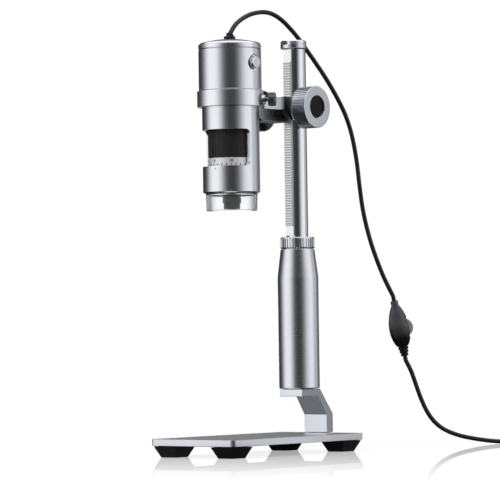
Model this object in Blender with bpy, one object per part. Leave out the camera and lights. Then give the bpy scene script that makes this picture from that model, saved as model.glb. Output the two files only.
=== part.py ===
"""A USB digital microscope on a rack stand, with its lead and its light dimmer.

The lens points down from a ring on an arm. Two knobs drive a pinion along a rack in the post.
Frame: metres, +Z up, the origin on the table under the middle of the base plate. The front is -Y.
"""

import math

import bmesh
import bpy
from mathutils import Matrix, Vector

MM = 0.001
DEGREE = math.pi / 180
HALF_TURN = math.pi
FULL_TURN = 2 * math.pi
MERGE = 0.0000005
SHARP_ANGLE = 32 * DEGREE

# Clearances shared by all pieces
SEAT = 0.3 * MM
RUNNING = 0.35 * MM
OVERRUN = 1.0 * MM

# Facets of round pieces, by size
LARGE_SIDES = 40
MIDDLE_SIDES = 24
SMALL_SIDES = 12
TINY_SIDES = 8
BLEND_STEPS = 4

# Base plate and feet
PLATE_WIDTH = 65.6 * MM
PLATE_LENGTH = 126.1 * MM
PLATE_THICKNESS = 4.1 * MM
PLATE_CORNER = 3.0 * MM
PLATE_EDGE_BREAK = 0.4 * MM
FOOT_HEIGHT = 6.7 * MM
FOOT_TOP = 18.0 * MM
FOOT_BOTTOM = 11.6 * MM
FOOT_INSET = 1.5 * MM
FOOT_SCREW_RADIUS = 1.5 * MM
FOOT_HEAD_RADIUS = 3.0 * MM
FOOT_HEAD_HEIGHT = 2.0 * MM
FOOT_HEAD_DEPTH = 3.8 * MM
FOOT_SCREW_REACH = 2.6 * MM

PLATE_BOTTOM_Z = FOOT_HEIGHT + SEAT
PLATE_TOP_Z = PLATE_BOTTOM_Z + PLATE_THICKNESS

# Post axis, and the Z-shaped bracket that carries it
POST_Y = 40.45 * MM
BRACKET_WIDTH = 17.7 * MM
LEG_THICKNESS = 6.4 * MM
LEG_REAR_INSET = 0.8 * MM
LEG_FRONT_HEIGHT = 11.2 * MM
LEG_REAR_HEIGHT = 11.9 * MM
TONGUE_THICKNESS = 4.5 * MM
TONGUE_RISE = 23.1 * MM
TONGUE_FRONT_REACH = 8.7 * MM
TONGUE_UNDER_REACH = 7.2 * MM
TONGUE_REAR_REACH = 9.4 * MM
BRACKET_SCREW_RADIUS = 1.5 * MM
BRACKET_SCREW_SPREAD = 10.0 * MM
BRACKET_HEAD_RADIUS = 2.8 * MM
BRACKET_HEAD_HEIGHT = 1.8 * MM
BRACKET_SCREW_REACH = 7.5 * MM
SLEEVE_BOLT_RADIUS = 2.5 * MM
SLEEVE_BOLT_HEAD_RADIUS = 4.2 * MM
SLEEVE_BOLT_HEAD_DEPTH = 0.3 * MM
SLEEVE_BOLT_REACH = 9.0 * MM

LEG_REAR_Y = PLATE_LENGTH / 2 - LEG_REAR_INSET
LEG_FRONT_Y = LEG_REAR_Y - LEG_THICKNESS
BRACKET_BOTTOM_Z = PLATE_TOP_Z + SEAT
TONGUE_BOTTOM_Z = PLATE_TOP_Z + TONGUE_RISE
TONGUE_TOP_Z = TONGUE_BOTTOM_Z + TONGUE_THICKNESS

# Sleeve, its nylon bush and the knurled lock collar
SLEEVE_RADIUS = 12.6 * MM
SLEEVE_NECK_RADIUS = 10.5 * MM
SLEEVE_LENGTH = 86.0 * MM
SLEEVE_TAPER = 17.5 * MM
SLEEVE_RIM_BREAK = 0.8 * MM
SLEEVE_FLOOR = 11.5 * MM
SPIGOT_RADIUS = 9.0 * MM
SPIGOT_HEIGHT = 4.0 * MM
BUSH_WALL = 0.7 * MM
BUSH_LENGTH = 14.0 * MM
BUSH_SLIT = 1.6 * MM
COLLAR_RADIUS = 10.8 * MM
COLLAR_HEIGHT = 7.2 * MM
COLLAR_CHAMFER = 0.7 * MM
COLLAR_GROOVE_COUNT = 40
COLLAR_GROOVE_DEPTH = 0.45 * MM

# Post, rack and cap
POST_RADIUS = 6.75 * MM
POST_ABOVE_SLEEVE = 123.8 * MM
RACK_WIDTH = 5.8 * MM
RACK_BACK = 4.7 * MM
RACK_TIP = 8.45 * MM
RACK_ABOVE_COLLAR = 1.0 * MM
TOOTH_MODULE = 0.5 * MM
PINION_TOOTH_COUNT = 16
TEETH_ABOVE_PINION = 19
TEETH_BELOW_PINION = 46
TOOTH_TIP_SHARE = 0.26
TOOTH_ROOT_SHARE = 0.70
TOOTH_DEPTH = 1.1 * MM
PINION_TIP_SHARE = 0.28
PINION_ROOT_SHARE = 0.62
CAP_RADIUS = 8.0 * MM
CAP_FORWARD = 1.1 * MM
CAP_HEIGHT = 5.1 * MM
CAP_CHAMFER = 0.8 * MM
CAP_GROOVE_DEPTH = 0.25 * MM
CAP_GROOVE_SHARE = 0.6
CAP_NOTCH_WIDTH = 6.0 * MM
CAP_NOTCH_DEPTH = 2.8 * MM
CAP_NOTCH_REACH = 3.3 * MM
CAP_SCREW_RADIUS = 2.0 * MM
CAP_SCREW_HEAD_RADIUS = 4.0 * MM
CAP_SCREW_HEAD_HEIGHT = 2.2 * MM
CAP_SCREW_REACH = 9.0 * MM

SLEEVE_BOTTOM_Z = TONGUE_TOP_Z + SEAT
SLEEVE_TOP_Z = SLEEVE_BOTTOM_Z + SLEEVE_LENGTH
COLLAR_BOTTOM_Z = SLEEVE_TOP_Z + SEAT
COLLAR_TOP_Z = COLLAR_BOTTOM_Z + COLLAR_HEIGHT
SLEEVE_BORE_Z = SLEEVE_BOTTOM_Z + SLEEVE_FLOOR
POST_BOTTOM_Z = SLEEVE_BORE_Z + SEAT
POST_TOP_Z = SLEEVE_TOP_Z + POST_ABOVE_SLEEVE
CAP_BOTTOM_Z = POST_TOP_Z + SEAT
CAP_TOP_Z = CAP_BOTTOM_Z + CAP_HEIGHT
RACK_BOTTOM_Z = COLLAR_TOP_Z + RACK_ABOVE_COLLAR
RACK_TOP_Z = POST_TOP_Z - SEAT
POST_BORE = POST_RADIUS + SEAT
BUSH_INNER = POST_RADIUS + SEAT
BUSH_OUTER = BUSH_INNER + BUSH_WALL
BUSH_TOP_Z = SLEEVE_TOP_Z + SPIGOT_HEIGHT - SEAT
TOOTH_PITCH = math.pi * TOOTH_MODULE
RACK_PITCH_LINE = RACK_TIP - 0.9 * TOOTH_MODULE
PINION_PITCH_RADIUS = PINION_TOOTH_COUNT * TOOTH_MODULE / 2

# Focus block, pinion, knobs
PINION_BELOW_POST_TOP = 37.5 * MM
PINION_LENGTH = 6.2 * MM
SHAFT_RADIUS = 3.0 * MM
BLOCK_WIDTH = 17.5 * MM
BLOCK_BELOW_PINION = 6.3 * MM
BLOCK_ABOVE_PINION = 6.9 * MM
BLOCK_FRONT_REACH = 21.6 * MM
BLOCK_REAR_REACH = 9.4 * MM
BLOCK_CORNER = 2.0 * MM
BLOCK_BORE = 4.7 * MM
BOSS_RADIUS = 7.8 * MM
BOSS_REACH = 14.4 * MM
BUSHING_WALL = 1.1 * MM
BUSHING_INNER_REACH = 4.2 * MM
KNOB_STANDOFF = 1.0 * MM
KNOB_RADIUS = 12.8 * MM
KNOB_LENGTH = 11.4 * MM
KNOB_FLUTE_COUNT = 48
KNOB_FLUTE_DEPTH = 0.5 * MM
KNOB_BAND = 0.9 * MM
KNOB_CHAMFER = 0.5 * MM
KNOB_FLUTE_RUNOUT = 0.4 * MM
KNOB_RECESS_RADIUS = 7.05 * MM
KNOB_RECESS_DEPTH = 1.2 * MM
KNOB_INSERT_THICKNESS = 0.6 * MM
KNOB_BORE_DEPTH = 8.4 * MM
SET_SCREW_RADIUS = 1.5 * MM
SET_SCREW_LENGTH = 5.2 * MM
SET_SCREW_PLACE = 3.2 * MM

PINION_Z = POST_TOP_Z - PINION_BELOW_POST_TOP
BLOCK_BOTTOM_Z = PINION_Z - BLOCK_BELOW_PINION
BLOCK_TOP_Z = PINION_Z + BLOCK_ABOVE_PINION
RACK_MESH_GAP = 0.05 * MM
PINION_REACH = RACK_PITCH_LINE + PINION_PITCH_RADIUS + RACK_MESH_GAP
PINION_Y = POST_Y - PINION_REACH
BUSHING_OUTER_RADIUS = SHAFT_RADIUS + SEAT + BUSHING_WALL
BUSHING_OUTER_REACH = BOSS_REACH - SEAT
KNOB_REACH = BOSS_REACH + KNOB_STANDOFF
SHAFT_REACH = KNOB_REACH + KNOB_BORE_DEPTH - SEAT

# Arm and holder ring
SCOPE_Y = -22.3 * MM
ARM_WIDTH = 14.0 * MM
ARM_BELOW_PINION = 9.2 * MM
ARM_DEPTH = 7.6 * MM
ARM_CORNER = 5.0 * MM
ARM_TAIL_DEPTH = 0.6 * MM
ARM_TAIL_SLANT = 7.2 * MM
ARM_TAIL_GAP = 0.42 * MM
ARM_BODY_GAP = 0.9 * MM
RING_WALL = 2.55 * MM
RING_HEIGHT = 9.8 * MM
RING_ABOVE_ARM = 0.5 * MM
RING_PAD_BITE = 0.4 * MM
RING_EDGE_BREAK = 0.4 * MM
ARM_SCREW_RADIUS = 1.25 * MM
ARM_SCREW_HEAD_RADIUS = 2.2 * MM
ARM_SCREW_HEAD_HEIGHT = 2.4 * MM
ARM_SCREW_SPREAD = 7.0 * MM
ARM_SCREW_RISE = 4.4 * MM
ARM_SCREW_SINK = 3.2 * MM
ARM_SCREW_REACH = 5.75 * MM

ARM_BOTTOM_Z = PINION_Z - ARM_BELOW_PINION
ARM_TOP_Z = ARM_BOTTOM_Z + ARM_DEPTH
ARM_SCREW_Z = ARM_BOTTOM_Z + ARM_SCREW_RISE
RING_BOTTOM_Z = ARM_TOP_Z + RING_ABOVE_ARM
RING_TOP_Z = RING_BOTTOM_Z + RING_HEIGHT

# Thumbscrew in the ring
THUMBSCREW_AZIMUTH = 32 * DEGREE
THUMBSCREW_RISE = 4.4 * MM
THUMBSCREW_RADIUS = 1.3 * MM
THUMBSCREW_LENGTH = 5.3 * MM
THUMBSCREW_HEAD_RADIUS = 4.15 * MM
THUMBSCREW_HEAD_LENGTH = 4.4 * MM
THUMBSCREW_GROOVE_COUNT = 24
THUMBSCREW_GROOVE_DEPTH = 0.3 * MM
RING_BOSS_RADIUS = 2.7 * MM
RING_BOSS_PROUD = 1.3 * MM

# Microscope housing
BODY_RADIUS = 17.25 * MM
BODY_WALL = 2.5 * MM
BODY_LENGTH = 61.65 * MM
BODY_BEVEL = 0.7 * MM
BODY_NECK_STEP = 0.65 * MM
BODY_NECK_HEIGHT = 7.0 * MM
HOUSING_PROUD = 1.75 * MM
HOUSING_WALL = 2.0 * MM
HOUSING_HEIGHT = 24.7 * MM
HOUSING_EDGE_BREAK = 0.3 * MM
LID_EDGE_HEIGHT = 2.5 * MM
LID_ROUND = 1.3 * MM
LID_DOME = 2.3 * MM
LID_DOME_SHARE = 0.6
LID_SPIGOT_WALL = 2.0 * MM
LID_SPIGOT_DEPTH = 3.3 * MM
LID_HOLE_RADIUS = 2.9 * MM
HOUSING_RADIUS = BODY_RADIUS + HOUSING_PROUD
BODY_NECK_RADIUS = BODY_RADIUS - BODY_NECK_STEP
SHOULDER_Z = RING_TOP_Z + SEAT
HOUSING_TOP_Z = SHOULDER_Z + HOUSING_HEIGHT
LID_BOTTOM_Z = HOUSING_TOP_Z + SEAT
LID_EDGE_Z = LID_BOTTOM_Z + LID_EDGE_HEIGHT
LID_TOP_Z = LID_EDGE_Z + LID_ROUND + LID_DOME
BODY_INNER_RADIUS = BODY_RADIUS - BODY_WALL
BODY_TOP_Z = RING_TOP_Z - SEAT / 2
BODY_BOTTOM_Z = BODY_TOP_Z - BODY_LENGTH
HOUSING_INNER_RADIUS = HOUSING_RADIUS - HOUSING_WALL
LID_SPIGOT_RADIUS = HOUSING_INNER_RADIUS - RUNNING
RING_BORE = BODY_RADIUS + SEAT
RING_RADIUS = RING_BORE + RING_WALL
RING_BOSS_REACH = RING_RADIUS + RING_BOSS_PROUD
THUMBSCREW_Z = RING_BOTTOM_Z + THUMBSCREW_RISE

# Window, dial and scale ring
WINDOW_RISE = 16.1 * MM
WINDOW_HEIGHT = 22.0 * MM
WINDOW_HALF_ANGLE = 81.5 * DEGREE
WINDOW_CORNER = 3.0 * MM
WINDOW_STEP_COUNT = 20
DIAL_RIB_COUNT = 48
DIAL_RIB_DEPTH = 0.45 * MM
DIAL_RUNNING_GAP = 0.45 * MM
DIAL_WALL = 5.3 * MM
SCALE_SHOWN = 5.2 * MM
WINDOW_BOTTOM_Z = BODY_BOTTOM_Z + WINDOW_RISE
WINDOW_TOP_Z = WINDOW_BOTTOM_Z + WINDOW_HEIGHT
DIAL_RADIUS = BODY_INNER_RADIUS - DIAL_RUNNING_GAP
DIAL_BORE = DIAL_RADIUS - DIAL_WALL
DIAL_SEAM_Z = WINDOW_BOTTOM_Z + SCALE_SHOWN

# Lens group
CARRIAGE_RADIUS = DIAL_BORE - RUNNING
CARRIAGE_RISE = 8.3 * MM
CARRIAGE_BOTTOM_Z = BODY_BOTTOM_Z + CARRIAGE_RISE
CARRIAGE_LENGTH = 20.0 * MM
BARREL_RADIUS = 5.6 * MM
BARREL_NOSE_RADIUS = 5.0 * MM
BARREL_BELOW_CARRIAGE = 17.5 * MM
BARREL_BOTTOM_Z = CARRIAGE_BOTTOM_Z - BARREL_BELOW_CARRIAGE
BARREL_NOSE_LENGTH = 3.5 * MM
BARREL_NECK_RADIUS = 4.4 * MM
BARREL_NECK_LENGTH = 5.0 * MM
BARREL_BORE = 3.4 * MM
LENS_THICKNESS = 2.0 * MM
LENS_SINK = 1.0 * MM
LENS_CROWN = 0.5 * MM

# Clear nose cap and its lights
NOSE_STEP = 1.65 * MM
NOSE_TAPER = 0.3 * MM
NOSE_LENGTH = 10.2 * MM
NOSE_WALL = 1.2 * MM
NOSE_SPIGOT_HEIGHT = 5.0 * MM
NOSE_SPIGOT_WALL = 1.0 * MM
NOSE_LEDGE_REACH = 2.0 * MM
NOSE_LEDGE_HEIGHT = 0.8 * MM
LIGHT_BOARD_THICKNESS = 1.2 * MM
LIGHT_BOARD_HOLE = 6.6 * MM
LIGHT_COUNT = 8
LIGHT_RADIUS = 1.5 * MM
LIGHT_HEIGHT = 2.8 * MM
LIGHT_CIRCLE = 10.0 * MM
NOSE_RADIUS = BODY_RADIUS - NOSE_STEP
NOSE_RIM_RADIUS = NOSE_RADIUS - NOSE_TAPER
NOSE_TOP_Z = BODY_BOTTOM_Z - SEAT
NOSE_BOTTOM_Z = NOSE_TOP_Z - NOSE_LENGTH
NOSE_SPIGOT_RADIUS = BODY_INNER_RADIUS - RUNNING
LIGHT_BOARD_Z = NOSE_TOP_Z + NOSE_LEDGE_HEIGHT + SEAT

# Electronics
BOARD_THICKNESS = 1.2 * MM
SENSOR_LEDGE_BELOW_TOP = 15.35 * MM
SENSOR_LEDGE_Z = BODY_TOP_Z - SENSOR_LEDGE_BELOW_TOP
SENSOR_LEDGE_HEIGHT = 3.2 * MM
SENSOR_LEDGE_REACH = 1.9 * MM
SENSOR_SIZE = 8.0 * MM
SENSOR_HEIGHT = 2.6 * MM
MAIN_BOARD_INSET = 7.4 * MM
MAIN_BOARD_X = HOUSING_INNER_RADIUS - MAIN_BOARD_INSET
MAIN_BOARD_WIDTH_SHARE = 1.41
MAIN_BOARD_WIDTH = HOUSING_INNER_RADIUS * MAIN_BOARD_WIDTH_SHARE
SWITCH_SIZE = 6.0 * MM
SWITCH_HEIGHT = 2.7 * MM

# Snap button in the housing, facing +X
BUTTON_RISE = 16.0 * MM
BUTTON_Z = SHOULDER_Z + BUTTON_RISE
BUTTON_RADIUS = 3.6 * MM
BUTTON_PROUD = 2.1 * MM
BUTTON_FACE_X = HOUSING_RADIUS + BUTTON_PROUD
BUTTON_TRAVEL = 0.8 * MM
BUTTON_FLANGE_RADIUS = 5.2 * MM
BUTTON_FLANGE_THICKNESS = 0.7 * MM
BUTTON_FLANGE_SINK = 1.3 * MM
BUTTON_RECESS_RADIUS = 5.0 * MM
BUTTON_RECESS_DEPTH = 1.0 * MM
BUTTON_EDGE = 0.4 * MM

# Lead
CORD_RADIUS = 1.4 * MM
CORD_STEP = 7.0 * MM
CORD_STRAIGHT = 3.2 * MM
CORD_FLOOR_Z = 1.5 * MM
GROMMET_HOLE_GAP = 0.35 * MM
GROMMET_FLANGE_RADIUS = 3.55 * MM
GROMMET_FLANGE_HEIGHT = 1.6 * MM
GROMMET_NECK_RADIUS = 2.0 * MM
GROMMET_NECK_LENGTH = 0.3 * MM
GROMMET_RIB_RADIUS = 2.4 * MM
GROMMET_LENGTH = 1.4 * MM
GROMMET_SINK = 1.1 * MM
GROMMET_LEAN = 27.0 * DEGREE
GROMMET_TAIL_RADIUS = 3.6 * MM
GROMMET_TAIL_HEIGHT = 1.6 * MM
GROMMET_BASE = Vector((0.0, SCOPE_Y, LID_TOP_Z + SEAT + GROMMET_FLANGE_HEIGHT))
GROMMET_WAY = Vector((0.0, math.sin(GROMMET_LEAN), math.cos(GROMMET_LEAN)))
CORD_EXIT = GROMMET_BASE + GROMMET_WAY * (GROMMET_LENGTH + SEAT)
CORD_STRAIGHT_TOP = GROMMET_BASE + GROMMET_WAY * (GROMMET_LENGTH + SEAT + 1.2 * MM)

# The free lead's route from the grommet, over and behind the post, down to the dimmer
ARCH_ROUTE = [
    CORD_EXIT,
    CORD_STRAIGHT_TOP,
    (-0.1 * MM, -19.2 * MM, 257.9 * MM),
    (-0.3 * MM, -16.2 * MM, 260.8 * MM),
    (-0.9 * MM, -11.3 * MM, 263.6 * MM),
    (-2.1 * MM, -4.8 * MM, 266.3 * MM),
    (-5.0 * MM, 5.8 * MM, 269.2 * MM),
    (-8.0 * MM, 20.3 * MM, 271.4 * MM),
    (-9.9 * MM, 32.0 * MM, 270.9 * MM),
    (-11.0 * MM, 42.8 * MM, 267.6 * MM),
    (-11.3 * MM, 52.4 * MM, 262.1 * MM),
    (-11.1 * MM, 58.0 * MM, 257.9 * MM),
    (-11.0 * MM, 61.8 * MM, 254.6 * MM),
]
DROP_ROUTE = [
    (-11.0 * MM, 61.8 * MM, 254.6 * MM),
    (-10.8 * MM, 66.2 * MM, 250.7 * MM),
    (-10.0 * MM, 73.6 * MM, 243.4 * MM),
    (-8.3 * MM, 82.9 * MM, 232.8 * MM),
    (-6.1 * MM, 91.5 * MM, 220.4 * MM),
    (-4.4 * MM, 97.3 * MM, 209.6 * MM),
    (-3.4 * MM, 101.8 * MM, 197.6 * MM),
    (-2.8 * MM, 105.3 * MM, 182.3 * MM),
    (-2.7 * MM, 107.8 * MM, 166.8 * MM),
    (-2.4 * MM, 110.3 * MM, 152.3 * MM),
    (-1.2 * MM, 113.1 * MM, 139.0 * MM),
    (0.9 * MM, 116.5 * MM, 125.5 * MM),
    (4.2 * MM, 121.0 * MM, 110.6 * MM),
    (6.9 * MM, 124.2 * MM, 101.4 * MM),
]
DIMMER_TOP = Vector((8.7 * MM, 127.4 * MM, 92.6 * MM))
DIMMER_BOTTOM = Vector((10.5 * MM, 135.6 * MM, 57.6 * MM))
LOWER_ROUTE = [
    (12.2 * MM, 139.4 * MM, 48.3 * MM),
    (13.4 * MM, 142.1 * MM, 40.8 * MM),
    (14.9 * MM, 145.5 * MM, 31.2 * MM),
    (17.0 * MM, 149.4 * MM, 21.9 * MM),
    (19.9 * MM, 153.9 * MM, 14.7 * MM),
    (23.8 * MM, 159.2 * MM, 9.7 * MM),
    (29.0 * MM, 165.3 * MM, 6.3 * MM),
    (34.5 * MM, 171.3 * MM, 4.2 * MM),
    (42.0 * MM, 178.5 * MM, 2.4 * MM),
    (48.8 * MM, 184.5 * MM, CORD_FLOOR_Z),
    (57.8 * MM, 192.4 * MM, CORD_FLOOR_Z),
    (66.0 * MM, 199.6 * MM, CORD_FLOOR_Z),
]

# The stored length: a coil of two layers on the table
COIL_ENTRY = Vector((76.4 * MM, 208.7 * MM, CORD_FLOOR_Z))
COIL_HEADING = 41.0 * DEGREE
COIL_OUTER_RADIUS = 25.5 * MM
COIL_PITCH = 3.6 * MM
COIL_LAYER = 3.5 * MM
COIL_TURNS_IN = 5.0
COIL_TURNS_OUT = 4.845
COIL_TAIL = 11.0 * MM
COIL_POINT_COUNT = 24

# Light dimmer on the lead
DIMMER_RADIUS = 6.6 * MM
DIMMER_FLAT_SHARE = 0.76
DIMMER_WALL = 1.3 * MM
DIMMER_END_RADIUS = 2.4 * MM
DIMMER_COLLAR_LENGTH = 3.0 * MM
DIMMER_RIBBED_LENGTH = 6.5 * MM
DIMMER_RIB_COUNT = 3
DIMMER_RIB_DEPTH = 0.5 * MM
DIMMER_BORE = 1.0 * MM
DIMMER_STEP_COUNT = 6
DIMMER_FACE_AZIMUTH = 39.5 * DEGREE
WHEEL_RADIUS = 6.0 * MM
WHEEL_THICKNESS = 3.0 * MM
WHEEL_OFFSET = 2.8 * MM
WHEEL_PIN_RADIUS = 0.9 * MM
WHEEL_PIN_REACH = 2.7 * MM
WHEEL_NOTCH_COUNT = 24
WHEEL_NOTCH_DEPTH = 0.25 * MM

# USB plug at the end of the coil
PLUG_RELIEF_LENGTH = 12.0 * MM
PLUG_RELIEF_RADIUS = 3.2 * MM
PLUG_GRIP_LENGTH = 26.0 * MM
PLUG_GRIP_WIDTH = 15.6 * MM
PLUG_GRIP_THICKNESS = 9.4 * MM
PLUG_GRIP_EDGE = 1.4 * MM
PLUG_SHELL_LENGTH = 18.6 * MM
PLUG_SHELL_WIDTH = 12.0 * MM
PLUG_SHELL_THICKNESS = 4.5 * MM
PLUG_SHELL_WALL = 0.4 * MM
PLUG_TONGUE_THICKNESS = 1.8 * MM
PLUG_TONGUE_GAP = 0.4 * MM


# Materials

def material(name, colour, roughness, metallic=0.0, alpha=1.0):
    made = bpy.data.materials.new(name)
    made.use_nodes = True
    shader = made.node_tree.nodes["Principled BSDF"]
    shader.inputs["Base Color"].default_value = (*colour, 1.0)
    shader.inputs["Roughness"].default_value = roughness
    shader.inputs["Metallic"].default_value = metallic
    shader.inputs["Alpha"].default_value = alpha
    return made


def clear_scene():
    for old in list(bpy.data.objects):
        bpy.data.objects.remove(old)


clear_scene()
SATIN_ALUMINIUM = material("satin_aluminium", (0.55, 0.56, 0.58), 0.32, 1.0)
GREY_ALUMINIUM = material("grey_aluminium", (0.40, 0.42, 0.44), 0.42, 1.0)
POLISHED_STEEL = material("polished_steel", (0.68, 0.69, 0.71), 0.10, 1.0)
DARK_STEEL = material("dark_steel", (0.16, 0.17, 0.18), 0.35, 1.0)
WHITE_NYLON = material("white_nylon", (0.80, 0.80, 0.78), 0.5)
BRONZE = material("bronze", (0.55, 0.36, 0.16), 0.4, 1.0)
BLACK_RUBBER = material("black_rubber", (0.018, 0.018, 0.018), 0.75)
BLACK_PLASTIC = material("black_plastic", (0.022, 0.020, 0.021), 0.38)
GREY_PLASTIC = material("grey_plastic", (0.20, 0.21, 0.22), 0.45)
SCALE_SILVER = material("scale_silver", (0.75, 0.76, 0.78), 0.35, 0.6)
CLEAR_PLASTIC = material("clear_plastic", (0.93, 0.95, 0.96), 0.08, 0.0, 0.3)
LENS_GLASS = material("lens_glass", (0.85, 0.90, 0.95), 0.02, 0.0, 0.35)
BOARD_GREEN = material("board_green", (0.02, 0.16, 0.07), 0.5)
CORD_BLACK = material("cord_black", (0.020, 0.020, 0.022), 0.42)


# Modelling helpers

def finished(name, shape, finish, location=(0, 0, 0), turn=(0, 0, 0), parent=None):
    """Turns a bmesh into a named object with smooth round faces."""
    bmesh.ops.remove_doubles(shape, verts=shape.verts, dist=MERGE)
    bmesh.ops.recalc_face_normals(shape, faces=shape.faces)
    mesh = bpy.data.meshes.new(name)
    shape.to_mesh(mesh)
    shape.free()
    mesh.shade_smooth()
    mesh.set_sharp_from_angle(angle=SHARP_ANGLE)
    mesh.materials.append(finish)
    made = bpy.data.objects.new(name, mesh)
    bpy.context.collection.objects.link(made)
    made.location = location
    made.rotation_euler = turn
    made.parent = parent
    return made


def turned_shape(profile, sides, angle=FULL_TURN):
    """Spins a closed (radius, height) profile about Z. Less than a full turn gets two flat ends."""
    shape = bmesh.new()
    points = [shape.verts.new((radius, 0, height)) for radius, height in profile]
    edges = [shape.edges.new((a, b)) for a, b in zip(points, points[1:] + points[:1])]
    spun = bmesh.ops.spin(
        shape, geom=points + edges, cent=(0, 0, 0), axis=(0, 0, 1), angle=angle, steps=sides
    )
    if angle < FULL_TURN:
        last = [v for v in spun["geom_last"] if isinstance(v, bmesh.types.BMVert)]
        shape.faces.new(points)
        shape.faces.new(last)
    return shape


def turned(name, profile, finish, sides, **place):
    return finished(name, turned_shape(profile, sides), finish, **place)


def prism_shape(outline, height):
    """Extrudes an (x, y) outline up from z = 0."""
    shape = bmesh.new()
    base = shape.faces.new([shape.verts.new((x, y, 0)) for x, y in outline])
    grown = bmesh.ops.extrude_face_region(shape, geom=[base])
    top = [v for v in grown["geom"] if isinstance(v, bmesh.types.BMVert)]
    bmesh.ops.translate(shape, verts=top, vec=(0, 0, height))
    return shape


def prism(name, outline, height, finish, **place):
    return finished(name, prism_shape(outline, height), finish, **place)


def lofted(name, rings, finish, **place):
    """Joins rings of equal count with quads and closes both ends."""
    shape = bmesh.new()
    loops = [[shape.verts.new(point) for point in ring] for ring in rings]
    for low, high in zip(loops, loops[1:]):
        count = len(low)
        for i in range(count):
            j = (i + 1) % count
            shape.faces.new((low[i], low[j], high[j], high[i]))
    shape.faces.new(loops[0])
    shape.faces.new(loops[-1])
    return finished(name, shape, finish, **place)


def rod(name, radius, low, high, finish, sides, **place):
    profile = [(0, low), (radius, low), (radius, high), (0, high)]
    return turned(name, profile, finish, sides, **place)


def block(name, low, high, finish, **place):
    outline = [(low[0], low[1]), (high[0], low[1]), (high[0], high[1]), (low[0], high[1])]
    shape = prism_shape(outline, high[2] - low[2])
    bmesh.ops.translate(shape, verts=shape.verts, vec=(0, 0, low[2]))
    return finished(name, shape, finish, **place)


def bevelled(piece, width, segments=1, angle=SHARP_ANGLE):
    edge = piece.modifiers.new("edge", "BEVEL")
    edge.width = width
    edge.segments = segments
    edge.limit_method = "ANGLE"
    edge.angle_limit = angle
    return piece


def combine(piece, other, operation="DIFFERENCE"):
    """A Boolean with a hidden helper object."""
    step = piece.modifiers.new(other.name, "BOOLEAN")
    step.operation = operation
    step.object = other
    other.hide_render = True
    other.display_type = "WIRE"
    return piece


def circle(radius, sides, height=0.0):
    angles = [FULL_TURN * i / sides for i in range(sides)]
    return [(radius * math.cos(a), radius * math.sin(a), height) for a in angles]


def grooved_circle(radius, depth, count, height=0.0):
    """Points alternate between the crests and the bottoms of V grooves."""
    ring = []
    for i in range(2 * count):
        reach = radius - depth * (i % 2)
        angle = HALF_TURN * i / count
        ring.append((reach * math.cos(angle), reach * math.sin(angle), height))
    return ring


def flat(ring):
    return [(x, y) for x, y, _ in ring]


def rounded_box(width, length, radius, steps=BLEND_STEPS):
    """A rectangle about the origin with round corners."""
    outline = []
    corners = [(1, 1, 0), (-1, 1, 1), (-1, -1, 2), (1, -1, 3)]
    for side_x, side_y, quarter in corners:
        centre_x = side_x * (width / 2 - radius)
        centre_y = side_y * (length / 2 - radius)
        for i in range(steps + 1):
            angle = (quarter + i / steps) * HALF_TURN / 2
            outline.append((centre_x + radius * math.cos(angle), centre_y + radius * math.sin(angle)))
    return outline


def smooth_route(points, step):
    """Evenly spaced points on a Catmull-Rom curve, with a straight piece at each end."""
    fine = []
    divisions = 12
    for a, b, c, d in zip(points, points[1:], points[2:], points[3:]):
        for i in range(divisions):
            t = i / divisions
            fine.append(
                0.5 * (2 * b + (c - a) * t + (2 * a - 5 * b + 4 * c - d) * t**2
                       + (3 * b - a - 3 * c + d) * t**3)
            )
    fine.append(points[-2])
    lengths = [0.0]
    for a, b in zip(fine, fine[1:]):
        lengths.append(lengths[-1] + (b - a).length)
    count = max(2, round(lengths[-1] / step))
    even = []
    place = 0
    for i in range(count + 1):
        wanted = lengths[-1] * i / count
        while place < len(fine) - 2 and lengths[place + 1] < wanted:
            place += 1
        share = (wanted - lengths[place]) / (lengths[place + 1] - lengths[place])
        even.append(fine[place].lerp(fine[place + 1], share))
    return [points[0], *even, points[-1]]


def tube(name, points, radius, finish, resolution):
    """A curve object with a round section and closed ends."""
    curve = bpy.data.curves.new(name, "CURVE")
    curve.dimensions = "3D"
    curve.bevel_depth = radius
    curve.bevel_resolution = resolution
    curve.use_fill_caps = True
    spline = curve.splines.new("POLY")
    spline.points.add(len(points) - 1)
    for slot, point in zip(spline.points, points):
        slot.co = (*point, 1.0)
    curve.materials.append(finish)
    made = bpy.data.objects.new(name, curve)
    bpy.context.collection.objects.link(made)
    return made


def axis_empty(name, location, turn=(0, 0, 0)):
    made = bpy.data.objects.new(name, None)
    bpy.context.collection.objects.link(made)
    made.location = location
    made.rotation_euler = turn
    return made


TOWARDS_RIGHT = (0, HALF_TURN / 2, 0)
TOWARDS_LEFT = (0, -HALF_TURN / 2, 0)
TOWARDS_REAR = (-HALF_TURN / 2, 0, 0)
SIDES = (("left", -1), ("right", 1))


# Base plate, feet and their screws

def foot_places():
    reach_x = PLATE_WIDTH / 2 - FOOT_INSET - FOOT_TOP / 2
    reach_y = PLATE_LENGTH / 2 - FOOT_INSET - FOOT_TOP / 2
    for row, side_y in (("front", -1), ("rear", 1)):
        for side, side_x in (("left", -1), ("right", 1)):
            yield f"{row}_{side}", side_x * reach_x, side_y * reach_y


def screw_profile(shank, tip, seat, head, head_end):
    """A screw along Z with its head below: the head's face at head_end, its seat at seat."""
    return [(0, head_end), (head, head_end), (head, seat), (shank, seat), (shank, tip), (0, tip)]


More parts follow.
